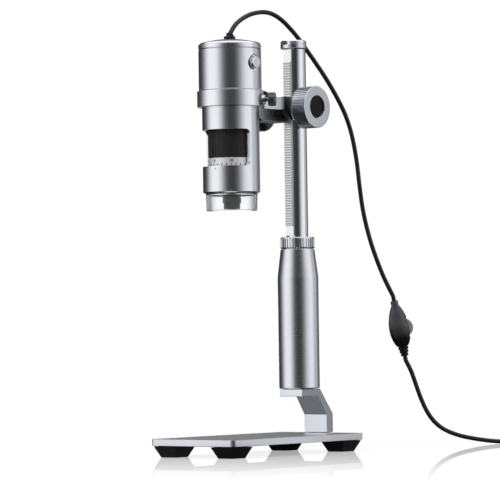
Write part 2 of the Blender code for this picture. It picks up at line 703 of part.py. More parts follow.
def make_base():
    outline = rounded_box(PLATE_WIDTH, PLATE_LENGTH, PLATE_CORNER)
    plate = prism("base_plate", outline, PLATE_THICKNESS, SATIN_ALUMINIUM, location=(0, 0, PLATE_BOTTOM_Z))
    bevelled(plate, PLATE_EDGE_BREAK)
    low = PLATE_BOTTOM_Z - OVERRUN
    reach = FOOT_SCREW_REACH + SEAT
    for corner, x, y in foot_places():
        ends = [(FOOT_BOTTOM, 0), (FOOT_TOP, FOOT_HEIGHT)]
        rings = [[(*p, z) for p in rounded_box(size, size, size / BLEND_STEPS / 4, 1)] for size, z in ends]
        foot = lofted(f"foot_{corner}", rings, BLACK_RUBBER, location=(x, y, 0))
        profile = [
            (0, -OVERRUN), (FOOT_HEAD_RADIUS + SEAT, -OVERRUN), (FOOT_HEAD_RADIUS + SEAT, FOOT_HEAD_DEPTH),
            (FOOT_SCREW_RADIUS + SEAT, FOOT_HEAD_DEPTH), (FOOT_SCREW_RADIUS + SEAT, FOOT_HEIGHT + OVERRUN),
            (0, FOOT_HEIGHT + OVERRUN),
        ]
        combine(foot, turned(f"foot_hole_{corner}", profile, BLACK_RUBBER, TINY_SIDES, location=(x, y, 0)))
        hole = rod(
            f"plate_foot_hole_{corner}", FOOT_SCREW_RADIUS + SEAT, low, PLATE_BOTTOM_Z + reach,
            SATIN_ALUMINIUM, TINY_SIDES, location=(x, y, 0),
        )
        combine(plate, hole)
        seat = FOOT_HEAD_DEPTH - SEAT
        profile = screw_profile(
            FOOT_SCREW_RADIUS, PLATE_BOTTOM_Z + FOOT_SCREW_REACH, seat, FOOT_HEAD_RADIUS, seat - FOOT_HEAD_HEIGHT
        )
        turned(f"foot_screw_{corner}", profile, DARK_STEEL, TINY_SIDES, location=(x, y, 0))
    return plate


def bracket_screw_places():
    middle = (LEG_FRONT_Y + LEG_REAR_Y) / 2
    for side, side_x in SIDES:
        yield side, side_x * BRACKET_SCREW_SPREAD / 2, middle


def make_bracket(plate):
    """The side outline, in (Y, Z), extruded across X."""
    outline = [
        (LEG_FRONT_Y, BRACKET_BOTTOM_Z),
        (LEG_REAR_Y, BRACKET_BOTTOM_Z),
        (LEG_REAR_Y, PLATE_TOP_Z + LEG_REAR_HEIGHT),
        (POST_Y + TONGUE_REAR_REACH, TONGUE_TOP_Z),
        (POST_Y - TONGUE_FRONT_REACH, TONGUE_TOP_Z),
        (POST_Y - TONGUE_FRONT_REACH, TONGUE_BOTTOM_Z),
        (POST_Y + TONGUE_UNDER_REACH, TONGUE_BOTTOM_Z),
        (LEG_FRONT_Y, PLATE_TOP_Z + LEG_FRONT_HEIGHT),
    ]
    bracket = prism(
        "z_bracket", outline, BRACKET_WIDTH, GREY_ALUMINIUM,
        location=(-BRACKET_WIDTH / 2, 0, 0), turn=(HALF_TURN / 2, 0, HALF_TURN / 2),
    )
    hole_radius = BRACKET_SCREW_RADIUS + SEAT
    head_seat = PLATE_BOTTOM_Z + SEAT + BRACKET_HEAD_HEIGHT
    tip = BRACKET_BOTTOM_Z + BRACKET_SCREW_REACH
    profile = screw_profile(
        hole_radius, tip + SEAT, head_seat + SEAT, BRACKET_HEAD_RADIUS + SEAT, PLATE_BOTTOM_Z - OVERRUN
    )
    screw = screw_profile(
        BRACKET_SCREW_RADIUS, tip, head_seat, BRACKET_HEAD_RADIUS, head_seat - BRACKET_HEAD_HEIGHT
    )
    for side, x, y in bracket_screw_places():
        hole = turned(f"bracket_hole_{side}", profile, GREY_ALUMINIUM, TINY_SIDES, location=(x, y, 0))
        combine(plate, hole)
        combine(bracket, hole)
        turned(f"bracket_screw_{side}", screw, DARK_STEEL, TINY_SIDES, location=(x, y, 0))
    face = TONGUE_BOTTOM_Z + SLEEVE_BOLT_HEAD_DEPTH
    cone = face + SLEEVE_BOLT_HEAD_RADIUS - SLEEVE_BOLT_RADIUS
    top = SLEEVE_BOTTOM_Z + SLEEVE_BOLT_REACH
    bolt = [(0, face), (SLEEVE_BOLT_HEAD_RADIUS, face), (SLEEVE_BOLT_RADIUS, cone), (SLEEVE_BOLT_RADIUS, top), (0, top)]
    turned("sleeve_bolt", bolt, DARK_STEEL, SMALL_SIDES, location=(0, POST_Y, 0))
    wide = SLEEVE_BOLT_HEAD_RADIUS + SEAT
    narrow = SLEEVE_BOLT_RADIUS + SEAT
    bore = [(0, TONGUE_BOTTOM_Z - OVERRUN), (wide, TONGUE_BOTTOM_Z - OVERRUN), (wide, face + SEAT / 2),
            (narrow, cone + SEAT / 2), (narrow, top + SEAT), (0, top + SEAT)]
    hole = turned("sleeve_bolt_hole", bore, GREY_ALUMINIUM, SMALL_SIDES, location=(0, POST_Y, 0))
    combine(bracket, hole)
    return hole


# Sleeve, bush and lock collar

def make_sleeve(bolt_hole):
    bush_seat = BUSH_OUTER + SEAT
    bush_floor = BUSH_TOP_Z - BUSH_LENGTH - SEAT
    top = SLEEVE_TOP_Z + SPIGOT_HEIGHT
    profile = [
        (0, SLEEVE_BOTTOM_Z),
        (SLEEVE_RADIUS - SLEEVE_RIM_BREAK, SLEEVE_BOTTOM_Z),
        (SLEEVE_RADIUS, SLEEVE_BOTTOM_Z + SLEEVE_RIM_BREAK),
        (SLEEVE_RADIUS, SLEEVE_TOP_Z - SLEEVE_TAPER),
        (SLEEVE_NECK_RADIUS, SLEEVE_TOP_Z),
        (SPIGOT_RADIUS, SLEEVE_TOP_Z),
        (SPIGOT_RADIUS, top),
        (bush_seat, top),
        (bush_seat, bush_floor),
        (POST_BORE, bush_floor),
        (POST_BORE, SLEEVE_BORE_Z),
        (0, SLEEVE_BORE_Z),
    ]
    sleeve = turned("sleeve", profile, SATIN_ALUMINIUM, LARGE_SIDES, location=(0, POST_Y, 0))
    combine(sleeve, bolt_hole)


def make_bush():
    """A split ring of nylon that the collar squeezes onto the post."""
    profile = [
        (BUSH_INNER, BUSH_TOP_Z - BUSH_LENGTH),
        (BUSH_OUTER, BUSH_TOP_Z - BUSH_LENGTH),
        (BUSH_OUTER, BUSH_TOP_Z),
        (BUSH_INNER, BUSH_TOP_Z),
    ]
    slit = BUSH_SLIT / BUSH_OUTER
    shape = turned_shape(profile, MIDDLE_SIDES, FULL_TURN - slit)
    finished("post_bush", shape, WHITE_NYLON, location=(0, POST_Y, 0), turn=(0, 0, HALF_TURN / 2))


def make_collar():
    valley = COLLAR_RADIUS - COLLAR_GROOVE_DEPTH - COLLAR_CHAMFER
    levels = [
        (valley, 0, COLLAR_BOTTOM_Z),
        (COLLAR_RADIUS, COLLAR_GROOVE_DEPTH, COLLAR_BOTTOM_Z + COLLAR_CHAMFER),
        (COLLAR_RADIUS, COLLAR_GROOVE_DEPTH, COLLAR_TOP_Z - COLLAR_CHAMFER),
        (valley, 0, COLLAR_TOP_Z),
    ]
    rings = [grooved_circle(radius, depth, COLLAR_GROOVE_COUNT, z) for radius, depth, z in levels]
    collar = lofted("lock_collar", rings, POLISHED_STEEL, location=(0, POST_Y, 0))
    low = COLLAR_BOTTOM_Z - OVERRUN
    high = COLLAR_TOP_Z + OVERRUN
    seat = SLEEVE_TOP_Z + SPIGOT_HEIGHT + SEAT
    profile = [(0, low), (SPIGOT_RADIUS + SEAT, low), (SPIGOT_RADIUS + SEAT, seat), (POST_BORE, seat),
               (POST_BORE, high), (0, high)]
    combine(collar, turned("collar_bore", profile, POLISHED_STEEL, MIDDLE_SIDES, location=(0, POST_Y, 0)))


# Post, rack and cap

def make_post():
    post = rod("post", POST_RADIUS, POST_BOTTOM_Z, POST_TOP_Z, POLISHED_STEEL, LARGE_SIDES,
               location=(0, POST_Y, 0))
    half = RACK_WIDTH / 2 + SEAT
    slot = block(
        "rack_slot", (-half, -POST_RADIUS - OVERRUN, RACK_BOTTOM_Z - SEAT),
        (half, -RACK_BACK + SEAT, POST_TOP_Z + OVERRUN), POLISHED_STEEL, location=(0, POST_Y, 0),
    )
    combine(post, slot)
    hole = rod("post_top_hole", CAP_SCREW_RADIUS + SEAT, CAP_BOTTOM_Z - CAP_SCREW_REACH - SEAT,
               POST_TOP_Z + OVERRUN, POLISHED_STEEL, TINY_SIDES, location=(0, POST_Y, 0))
    combine(post, hole)


def rack_outline():
    """Side view in (reach from the post axis towards the front, Z), teeth in mesh at the pinion."""
    root = RACK_TIP - TOOTH_DEPTH
    outline = [(RACK_BACK, RACK_TOP_Z), (RACK_BACK, RACK_BOTTOM_Z), (root, RACK_BOTTOM_Z)]
    for number in range(-TEETH_BELOW_PINION, TEETH_ABOVE_PINION):
        centre = PINION_Z + (number + 0.5) * TOOTH_PITCH
        outline += [
            (root, centre - TOOTH_ROOT_SHARE * TOOTH_PITCH / 2),
            (RACK_TIP, centre - TOOTH_TIP_SHARE * TOOTH_PITCH / 2),
            (RACK_TIP, centre + TOOTH_TIP_SHARE * TOOTH_PITCH / 2),
            (root, centre + TOOTH_ROOT_SHARE * TOOTH_PITCH / 2),
        ]
    return outline + [(root, RACK_TOP_Z)]


def make_rack():
    prism(
        "rack", rack_outline(), RACK_WIDTH, POLISHED_STEEL,
        location=(RACK_WIDTH / 2, POST_Y, 0), turn=(HALF_TURN / 2, 0, -HALF_TURN / 2),
    )


def make_post_cap():
    groove = CAP_BOTTOM_Z + CAP_GROOVE_SHARE * CAP_HEIGHT
    half_groove = CAP_GROOVE_DEPTH
    profile = [
        (0, CAP_BOTTOM_Z),
        (CAP_RADIUS, CAP_BOTTOM_Z),
        (CAP_RADIUS, groove - half_groove),
        (CAP_RADIUS - CAP_GROOVE_DEPTH, groove),
        (CAP_RADIUS, groove + half_groove),
        (CAP_RADIUS, CAP_TOP_Z - CAP_CHAMFER),
        (CAP_RADIUS - CAP_CHAMFER, CAP_TOP_Z),
        (0, CAP_TOP_Z),
    ]
    cap = turned("post_cap", profile, SATIN_ALUMINIUM, LARGE_SIDES, location=(0, POST_Y - CAP_FORWARD, 0))
    half = CAP_NOTCH_WIDTH / 2
    notch = block(
        "cap_notch", (-half, -CAP_RADIUS - OVERRUN, CAP_TOP_Z - CAP_NOTCH_DEPTH),
        (half, -CAP_RADIUS + CAP_NOTCH_REACH, CAP_TOP_Z + OVERRUN), SATIN_ALUMINIUM,
        location=(0, POST_Y - CAP_FORWARD, 0),
    )
    combine(cap, notch)
    top = CAP_TOP_Z - SEAT
    seat = top - CAP_SCREW_HEAD_HEIGHT
    tip = CAP_BOTTOM_Z - CAP_SCREW_REACH
    screw = [(0, tip), (CAP_SCREW_RADIUS, tip), (CAP_SCREW_RADIUS, seat), (CAP_SCREW_HEAD_RADIUS, top), (0, top)]
    turned("cap_screw", screw, DARK_STEEL, SMALL_SIDES, location=(0, POST_Y, 0))
    radius = CAP_SCREW_RADIUS + SEAT
    head = CAP_SCREW_HEAD_RADIUS + SEAT
    flare = seat - SEAT
    bore = [(0, tip), (radius, tip), (radius, flare), (head, top - SEAT), (head, CAP_TOP_Z + OVERRUN),
            (0, CAP_TOP_Z + OVERRUN)]
    combine(cap, turned("cap_screw_bore", bore, SATIN_ALUMINIUM, SMALL_SIDES, location=(0, POST_Y, 0)))


# Focus block with its bushes

def arm_seat_y(z):
    """Where the block's slanted seat for the arm's tail lies at a height."""
    top = POST_Y - BLOCK_FRONT_REACH + ARM_TAIL_DEPTH
    return top + ARM_TAIL_SLANT * (ARM_TOP_Z - z) / ARM_DEPTH


def make_focus_block():
    outline = [(x, y + (BLOCK_REAR_REACH - BLOCK_FRONT_REACH) / 2) for x, y in rounded_box(
        BLOCK_WIDTH, BLOCK_REAR_REACH + BLOCK_FRONT_REACH, BLOCK_CORNER)]
    body = prism("focus_block", outline, BLOCK_TOP_Z - BLOCK_BOTTOM_Z, GREY_ALUMINIUM,
                 location=(0, POST_Y, BLOCK_BOTTOM_Z))
    for side, turn in (("right", TOWARDS_RIGHT), ("left", TOWARDS_LEFT)):
        boss = rod(f"boss_{side}", BOSS_RADIUS, BLOCK_WIDTH / 2 - OVERRUN, BOSS_REACH, GREY_ALUMINIUM,
                   MIDDLE_SIDES, location=(0, PINION_Y, PINION_Z), turn=turn)
        combine(body, boss, "UNION")
    bore = rod("block_post_bore", POST_BORE, BLOCK_BOTTOM_Z - OVERRUN, BLOCK_TOP_Z + OVERRUN, GREY_ALUMINIUM,
               MIDDLE_SIDES, location=(0, POST_Y, 0))
    combine(body, bore)
    half = RACK_WIDTH / 2 + RUNNING
    channel = block("rack_channel", (-half, -RACK_TIP - RUNNING, BLOCK_BOTTOM_Z - OVERRUN),
                    (half, 0, BLOCK_TOP_Z + OVERRUN), GREY_ALUMINIUM, location=(0, POST_Y, 0))
    combine(body, channel)
    through = rod("pinion_bore", BLOCK_BORE, -BOSS_REACH - OVERRUN, BOSS_REACH + OVERRUN, GREY_ALUMINIUM,
                  MIDDLE_SIDES, location=(0, PINION_Y, PINION_Z), turn=TOWARDS_RIGHT)
    combine(body, through)
    low = BLOCK_BOTTOM_Z - OVERRUN
    high = ARM_TOP_Z + SEAT
    front = POST_Y - BLOCK_FRONT_REACH - OVERRUN
    outline = [(arm_seat_y(low), low), (arm_seat_y(high), high), (front, high), (front, low)]
    half = BLOCK_WIDTH / 2 + OVERRUN
    seat = prism("arm_seat", outline, 2 * half, GREY_ALUMINIUM, location=(-half, 0, 0),
                 turn=(HALF_TURN / 2, 0, HALF_TURN / 2))
    combine(body, seat)
    return body


def make_bushings():
    inner = SHAFT_RADIUS + SEAT
    outer = BUSHING_OUTER_RADIUS
    profile = [
        (inner, BUSHING_INNER_REACH), (outer, BUSHING_INNER_REACH),
        (outer, BUSHING_OUTER_REACH), (inner, BUSHING_OUTER_REACH),
    ]
    for side, turn in (("right", TOWARDS_RIGHT), ("left", TOWARDS_LEFT)):
        place = {"location": (0, PINION_Y, PINION_Z), "turn": turn}
        turned(f"pinion_bush_{side}", profile, BRONZE, SMALL_SIDES, **place)


# Pinion, shaft and knobs

def pinion_outline():
    """Sixteen teeth with one pointing at the rack, which lies towards local +Y."""
    tip = PINION_PITCH_RADIUS + 0.8 * TOOTH_MODULE
    root = tip - TOOTH_DEPTH
    step = FULL_TURN / PINION_TOOTH_COUNT
    outline = []
    for number in range(PINION_TOOTH_COUNT):
        centre = HALF_TURN / 2 + number * step
        for reach, share, side in ((root, PINION_ROOT_SHARE, -1), (tip, PINION_TIP_SHARE, -1),
                                   (tip, PINION_TIP_SHARE, 1), (root, PINION_ROOT_SHARE, 1)):
            angle = centre + side * share * step / 2
            outline.append((reach * math.cos(angle), reach * math.sin(angle)))
    return outline


def make_pinion_shaft():
    place = {"location": (0, PINION_Y, PINION_Z), "turn": TOWARDS_RIGHT}
    shaft = rod("pinion_shaft", SHAFT_RADIUS, -SHAFT_REACH, SHAFT_REACH, POLISHED_STEEL, SMALL_SIDES, **place)
    shape = prism_shape(pinion_outline(), PINION_LENGTH)
    bmesh.ops.translate(shape, verts=shape.verts, vec=(0, 0, -PINION_LENGTH / 2))
    gear = finished("pinion_teeth", shape, POLISHED_STEEL, **place)
    combine(shaft, gear, "UNION")


def make_knob(side, side_x):
    """Fluted grip, plain outer band, a round recess in the face and a black insert."""
    place = {"location": (0, PINION_Y, PINION_Z), "turn": (0, side_x * HALF_TURN / 2, 0)}
    outer = KNOB_REACH + KNOB_LENGTH
    band = outer - KNOB_BAND
    levels = [
        (KNOB_RADIUS, KNOB_FLUTE_DEPTH, KNOB_REACH),
        (KNOB_RADIUS, KNOB_FLUTE_DEPTH, band),
        (KNOB_RADIUS, 0, band + KNOB_FLUTE_RUNOUT),
        (KNOB_RADIUS, 0, outer - KNOB_CHAMFER),
        (KNOB_RADIUS - KNOB_CHAMFER, 0, outer),
    ]
    rings = [grooved_circle(radius, depth, KNOB_FLUTE_COUNT, z) for radius, depth, z in levels]
    knob = lofted(f"focus_knob_{side}", rings, GREY_ALUMINIUM, **place)
    floor = outer - KNOB_RECESS_DEPTH
    recess = rod(f"knob_recess_{side}", KNOB_RECESS_RADIUS, floor, outer + OVERRUN, GREY_ALUMINIUM,
                 MIDDLE_SIDES, **place)
    combine(knob, recess)
    bore = rod(f"knob_bore_{side}", SHAFT_RADIUS + SEAT, KNOB_REACH - OVERRUN, KNOB_REACH + KNOB_BORE_DEPTH,
               GREY_ALUMINIUM, SMALL_SIDES, **place)
    combine(knob, bore)
    low = floor + SEAT
    rod(f"knob_insert_{side}", KNOB_RECESS_RADIUS - SEAT, low, low + KNOB_INSERT_THICKNESS, BLACK_PLASTIC,
        MIDDLE_SIDES, **place)
    centre = (side_x * (KNOB_REACH + SET_SCREW_PLACE), PINION_Y, PINION_Z)
    hole = rod(f"set_screw_hole_{side}", SET_SCREW_RADIUS + SEAT, 0, KNOB_RADIUS + OVERRUN, GREY_ALUMINIUM,
               TINY_SIDES, location=centre, turn=TOWARDS_REAR)
    combine(knob, hole)
    low = SHAFT_RADIUS + SEAT
    profile = [(0, low), (SET_SCREW_RADIUS, low), (SET_SCREW_RADIUS, low + SET_SCREW_LENGTH),
               (0, low + SET_SCREW_LENGTH)]
    turned(f"knob_set_screw_{side}", profile, DARK_STEEL, TINY_SIDES, location=centre, turn=TOWARDS_REAR)


# Arm with the holder ring, its screws and the thumbscrew

def arm_outline():
    """Side view in (Y, Z). The front lower corner is round, a pad meets the ring, and the tail slants."""
    front = SCOPE_Y + BODY_RADIUS + ARM_BODY_GAP
    tail = arm_seat_y(ARM_TOP_Z) - ARM_TAIL_GAP
    pad_top = RING_BOTTOM_Z + RING_PAD_BITE
    centre_y = front + ARM_CORNER
    centre_z = ARM_BOTTOM_Z + ARM_CORNER
    outline = [(tail + ARM_TAIL_SLANT, ARM_BOTTOM_Z)]
    outline.append((tail, ARM_TOP_Z))
    outline.append((SCOPE_Y + RING_RADIUS, ARM_TOP_Z))
    outline.append((SCOPE_Y + RING_RADIUS, pad_top))
    outline.append((front - BODY_WALL, pad_top))
    outline.append((front - BODY_WALL, centre_z))
    for i in range(BLEND_STEPS + 1):
        angle = HALF_TURN + i / BLEND_STEPS * HALF_TURN / 2
        outline.append((centre_y + ARM_CORNER * math.cos(angle), centre_z + ARM_CORNER * math.sin(angle)))
    return outline


def make_holder(block_body):
    edge = RING_EDGE_BREAK
    solid = [
        (0, RING_BOTTOM_Z), (RING_RADIUS - edge, RING_BOTTOM_Z), (RING_RADIUS, RING_BOTTOM_Z + edge),
        (RING_RADIUS, RING_TOP_Z - edge), (RING_RADIUS - edge, RING_TOP_Z), (0, RING_TOP_Z),
    ]
    holder = turned("holder_ring", solid, SATIN_ALUMINIUM, LARGE_SIDES, location=(0, SCOPE_Y, 0))
    arm = prism("arm_bar", arm_outline(), ARM_WIDTH, GREY_ALUMINIUM,
                location=(-ARM_WIDTH / 2, 0, 0), turn=(HALF_TURN / 2, 0, HALF_TURN / 2))
    combine(holder, arm, "UNION")
    boss = rod("ring_boss", RING_BOSS_RADIUS, BODY_RADIUS, RING_BOSS_REACH, SATIN_ALUMINIUM, SMALL_SIDES,
               location=(0, SCOPE_Y, THUMBSCREW_Z), turn=(0, HALF_TURN / 2, THUMBSCREW_AZIMUTH))
    combine(holder, boss, "UNION")
    low = ARM_BOTTOM_Z - OVERRUN
    step = RING_BOTTOM_Z - SEAT
    clear = BODY_RADIUS + ARM_BODY_GAP
    bore = [(0, low), (clear, low), (clear, step), (RING_BORE, step), (RING_BORE, RING_TOP_Z + OVERRUN),
            (0, RING_TOP_Z + OVERRUN)]
    combine(holder, turned("ring_bore", bore, SATIN_ALUMINIUM, LARGE_SIDES, location=(0, SCOPE_Y, 0)))
    hole = rod("thumbscrew_hole", THUMBSCREW_RADIUS + SEAT, BODY_INNER_RADIUS, RING_BOSS_REACH + OVERRUN,
               SATIN_ALUMINIUM, TINY_SIDES, location=(0, SCOPE_Y, THUMBSCREW_Z),
               turn=(0, HALF_TURN / 2, THUMBSCREW_AZIMUTH))
    combine(holder, hole)
    head_seat = SCOPE_Y + clear + ARM_SCREW_SINK
    tip = POST_Y - BLOCK_FRONT_REACH + ARM_SCREW_REACH
    for side, side_x in SIDES:
        x = side_x * ARM_SCREW_SPREAD / 2
        profile = screw_profile(ARM_SCREW_RADIUS + SEAT, tip + SEAT, head_seat, ARM_SCREW_HEAD_RADIUS + SEAT,
                                SCOPE_Y + BODY_INNER_RADIUS)
        place = {"location": (x, 0, ARM_SCREW_Z), "turn": TOWARDS_REAR}
        cutter = turned(f"arm_hole_{side}", profile, GREY_ALUMINIUM, TINY_SIDES, **place)
        combine(holder, cutter)
        combine(block_body, cutter)
        seat = head_seat - SEAT
        profile = screw_profile(ARM_SCREW_RADIUS, tip, seat, ARM_SCREW_HEAD_RADIUS, seat - ARM_SCREW_HEAD_HEIGHT)
        turned(f"arm_screw_{side}", profile, DARK_STEEL, TINY_SIDES, **place)


def make_thumbscrew():
    start = RING_BORE + THUMBSCREW_RADIUS / 4
    head = start + THUMBSCREW_LENGTH
    end = head + THUMBSCREW_HEAD_LENGTH
    place = {"location": (0, SCOPE_Y, THUMBSCREW_Z), "turn": (0, HALF_TURN / 2, THUMBSCREW_AZIMUTH)}
    rings = [grooved_circle(THUMBSCREW_HEAD_RADIUS, THUMBSCREW_GROOVE_DEPTH, THUMBSCREW_GROOVE_COUNT, z)
             for z in (head, end)]
    screw = lofted("thumbscrew", rings, DARK_STEEL, **place)
    shank = rod("thumbscrew_shank", THUMBSCREW_RADIUS, start, head + OVERRUN, DARK_STEEL, TINY_SIDES, **place)
    combine(screw, shank, "UNION")


# Microscope housing

def window_cutter():
    """A curved slab round the front whose ends shrink along the corner radius."""
    inner = DIAL_RADIUS
    outer = BODY_RADIUS + OVERRUN
    corner_angle = WINDOW_CORNER / BODY_RADIUS
    angles = [-WINDOW_HALF_ANGLE + corner_angle * (1 - math.cos(HALF_TURN / 2 * i / BLEND_STEPS))
              for i in range(BLEND_STEPS)]
    reach = WINDOW_HALF_ANGLE - corner_angle
    middle = [-reach + 2 * reach * i / WINDOW_STEP_COUNT for i in range(WINDOW_STEP_COUNT + 1)]
    angles = angles + middle + [-a for a in reversed(angles)]
    rings = []
    for angle in angles:
        into_corner = max(0.0, abs(angle) - reach) * BODY_RADIUS
        drop = WINDOW_CORNER - math.sqrt(max(0.0, WINDOW_CORNER**2 - into_corner**2))
        low = WINDOW_BOTTOM_Z + min(drop, WINDOW_CORNER * 0.9)
        high = WINDOW_TOP_Z - min(drop, WINDOW_CORNER * 0.9)
        x = math.sin(angle)
        y = -math.cos(angle)
        rings.append([(inner * x, inner * y, low), (outer * x, outer * y, low),
                      (outer * x, outer * y, high), (inner * x, inner * y, high)])
    return lofted("body_window", rings, SATIN_ALUMINIUM, location=(0, SCOPE_Y, 0))


def make_lower_body():
    inner = BODY_INNER_RADIUS
    neck_top = BODY_TOP_Z + BODY_NECK_HEIGHT
    ledge = inner - SENSOR_LEDGE_REACH
    profile = [
        (inner, BODY_BOTTOM_Z), (BODY_RADIUS - BODY_BEVEL, BODY_BOTTOM_Z),
        (BODY_RADIUS, BODY_BOTTOM_Z + BODY_BEVEL), (BODY_RADIUS, BODY_TOP_Z),
        (BODY_NECK_RADIUS, BODY_TOP_Z), (BODY_NECK_RADIUS, neck_top), (inner, neck_top),
        (inner, SENSOR_LEDGE_Z + SENSOR_LEDGE_HEIGHT), (ledge, SENSOR_LEDGE_Z + SENSOR_LEDGE_HEIGHT),
        (ledge, SENSOR_LEDGE_Z), (inner, SENSOR_LEDGE_Z),
    ]
    body = turned("lower_body", profile, SATIN_ALUMINIUM, LARGE_SIDES, location=(0, SCOPE_Y, 0))
    combine(body, window_cutter())


def make_upper_housing():
    edge = HOUSING_EDGE_BREAK
    profile = [
        (HOUSING_INNER_RADIUS, SHOULDER_Z), (HOUSING_RADIUS - edge, SHOULDER_Z),
        (HOUSING_RADIUS, SHOULDER_Z + edge), (HOUSING_RADIUS, HOUSING_TOP_Z - edge),
        (HOUSING_RADIUS - edge, HOUSING_TOP_Z), (HOUSING_INNER_RADIUS, HOUSING_TOP_Z),
    ]
    housing = turned("upper_housing", profile, SATIN_ALUMINIUM, LARGE_SIDES, location=(0, SCOPE_Y, 0))
    low = BODY_INNER_RADIUS
    floor = HOUSING_RADIUS - BUTTON_RECESS_DEPTH
    profile = [(0, low), (BUTTON_RADIUS + RUNNING, low), (BUTTON_RADIUS + RUNNING, floor),
               (BUTTON_RECESS_RADIUS, floor), (BUTTON_RECESS_RADIUS, HOUSING_RADIUS + OVERRUN),
               (0, HOUSING_RADIUS + OVERRUN)]
    combine(housing, turned("button_hole", profile, SATIN_ALUMINIUM, MIDDLE_SIDES,
                            location=(0, SCOPE_Y, BUTTON_Z), turn=TOWARDS_RIGHT))


def make_lid():
    edge = HOUSING_RADIUS - LID_ROUND
    shoulder = LID_EDGE_Z + LID_ROUND
    profile = [
        (LID_HOLE_RADIUS, LID_BOTTOM_Z), (LID_HOLE_RADIUS, LID_TOP_Z),
        (edge * LID_DOME_SHARE, shoulder + LID_DOME * (1 - LID_DOME_SHARE**2)),
        (edge, shoulder), (HOUSING_RADIUS - LID_ROUND / 4, LID_EDGE_Z + LID_ROUND / 2),
        (HOUSING_RADIUS, LID_EDGE_Z), (HOUSING_RADIUS, LID_BOTTOM_Z),
        (LID_SPIGOT_RADIUS, LID_BOTTOM_Z), (LID_SPIGOT_RADIUS, LID_BOTTOM_Z - LID_SPIGOT_DEPTH),
        (LID_SPIGOT_RADIUS - LID_SPIGOT_WALL, LID_BOTTOM_Z - LID_SPIGOT_DEPTH),
        (LID_SPIGOT_RADIUS - LID_SPIGOT_WALL, LID_BOTTOM_Z),
    ]
    turned("top_lid", profile, SATIN_ALUMINIUM, LARGE_SIDES, location=(0, SCOPE_Y, 0))


def make_grommet():
    """Held by a flange on each side of the lid, with a leaning neck and rib above."""
    seat = LID_TOP_Z + SEAT
    tail = LID_BOTTOM_Z - SEAT
    waist = LID_HOLE_RADIUS - GROMMET_HOLE_GAP
    profile = [(0, tail - GROMMET_TAIL_HEIGHT), (GROMMET_TAIL_RADIUS, tail - GROMMET_TAIL_HEIGHT),
               (GROMMET_TAIL_RADIUS, tail), (waist, tail), (waist, seat), (GROMMET_FLANGE_RADIUS, seat),
               (GROMMET_FLANGE_RADIUS, seat + GROMMET_FLANGE_HEIGHT), (0, seat + GROMMET_FLANGE_HEIGHT)]
    grommet = turned("cord_grommet", profile, BLACK_RUBBER, SMALL_SIDES, location=(0, SCOPE_Y, 0))
    rib = [(0, -GROMMET_SINK), (GROMMET_NECK_RADIUS, -GROMMET_SINK), (GROMMET_NECK_RADIUS, GROMMET_NECK_LENGTH),
           (GROMMET_RIB_RADIUS, GROMMET_NECK_LENGTH + 0.2 * MM), (GROMMET_RIB_RADIUS, GROMMET_LENGTH),
           (0, GROMMET_LENGTH)]
    neck = turned("grommet_neck", rib, BLACK_RUBBER, SMALL_SIDES, location=GROMMET_BASE, turn=(-GROMMET_LEAN, 0, 0))
    combine(grommet, neck, "UNION")


def make_snap_button():
    place = {"location": (0, SCOPE_Y, BUTTON_Z), "turn": TOWARDS_RIGHT}
    low = HOUSING_INNER_RADIUS - BUTTON_FLANGE_SINK - BUTTON_FLANGE_THICKNESS
    flange = low + BUTTON_FLANGE_THICKNESS
    profile = [(0, low), (BUTTON_FLANGE_RADIUS, low), (BUTTON_FLANGE_RADIUS, flange), (BUTTON_RADIUS, flange),
               (BUTTON_RADIUS, BUTTON_FACE_X - BUTTON_EDGE), (BUTTON_RADIUS - BUTTON_EDGE, BUTTON_FACE_X),
               (0, BUTTON_FACE_X)]
    turned("snap_button", profile, SATIN_ALUMINIUM, MIDDLE_SIDES, **place)
    return low


# Dial, scale and lens group

def make_dial():
    low = DIAL_SEAM_Z + SEAT / 2
    high = SENSOR_LEDGE_Z - SEAT
    rings = [grooved_circle(DIAL_RADIUS, DIAL_RIB_DEPTH, DIAL_RIB_COUNT, z) for z in (low, high)]
    dial = lofted("focus_dial", rings, BLACK_PLASTIC, location=(0, SCOPE_Y, 0))
    bore = rod("dial_bore", DIAL_BORE, low - OVERRUN, high + OVERRUN, BLACK_PLASTIC, MIDDLE_SIDES,
               location=(0, SCOPE_Y, 0))
    combine(dial, bore)
    low = NOSE_TOP_Z + NOSE_SPIGOT_HEIGHT + SEAT
    high = DIAL_SEAM_Z - SEAT / 2
    profile = [(DIAL_BORE, low), (DIAL_RADIUS, low), (DIAL_RADIUS, high), (DIAL_BORE, high)]
    turned("scale_ring", profile, SCALE_SILVER, LARGE_SIDES, location=(0, SCOPE_Y, 0))


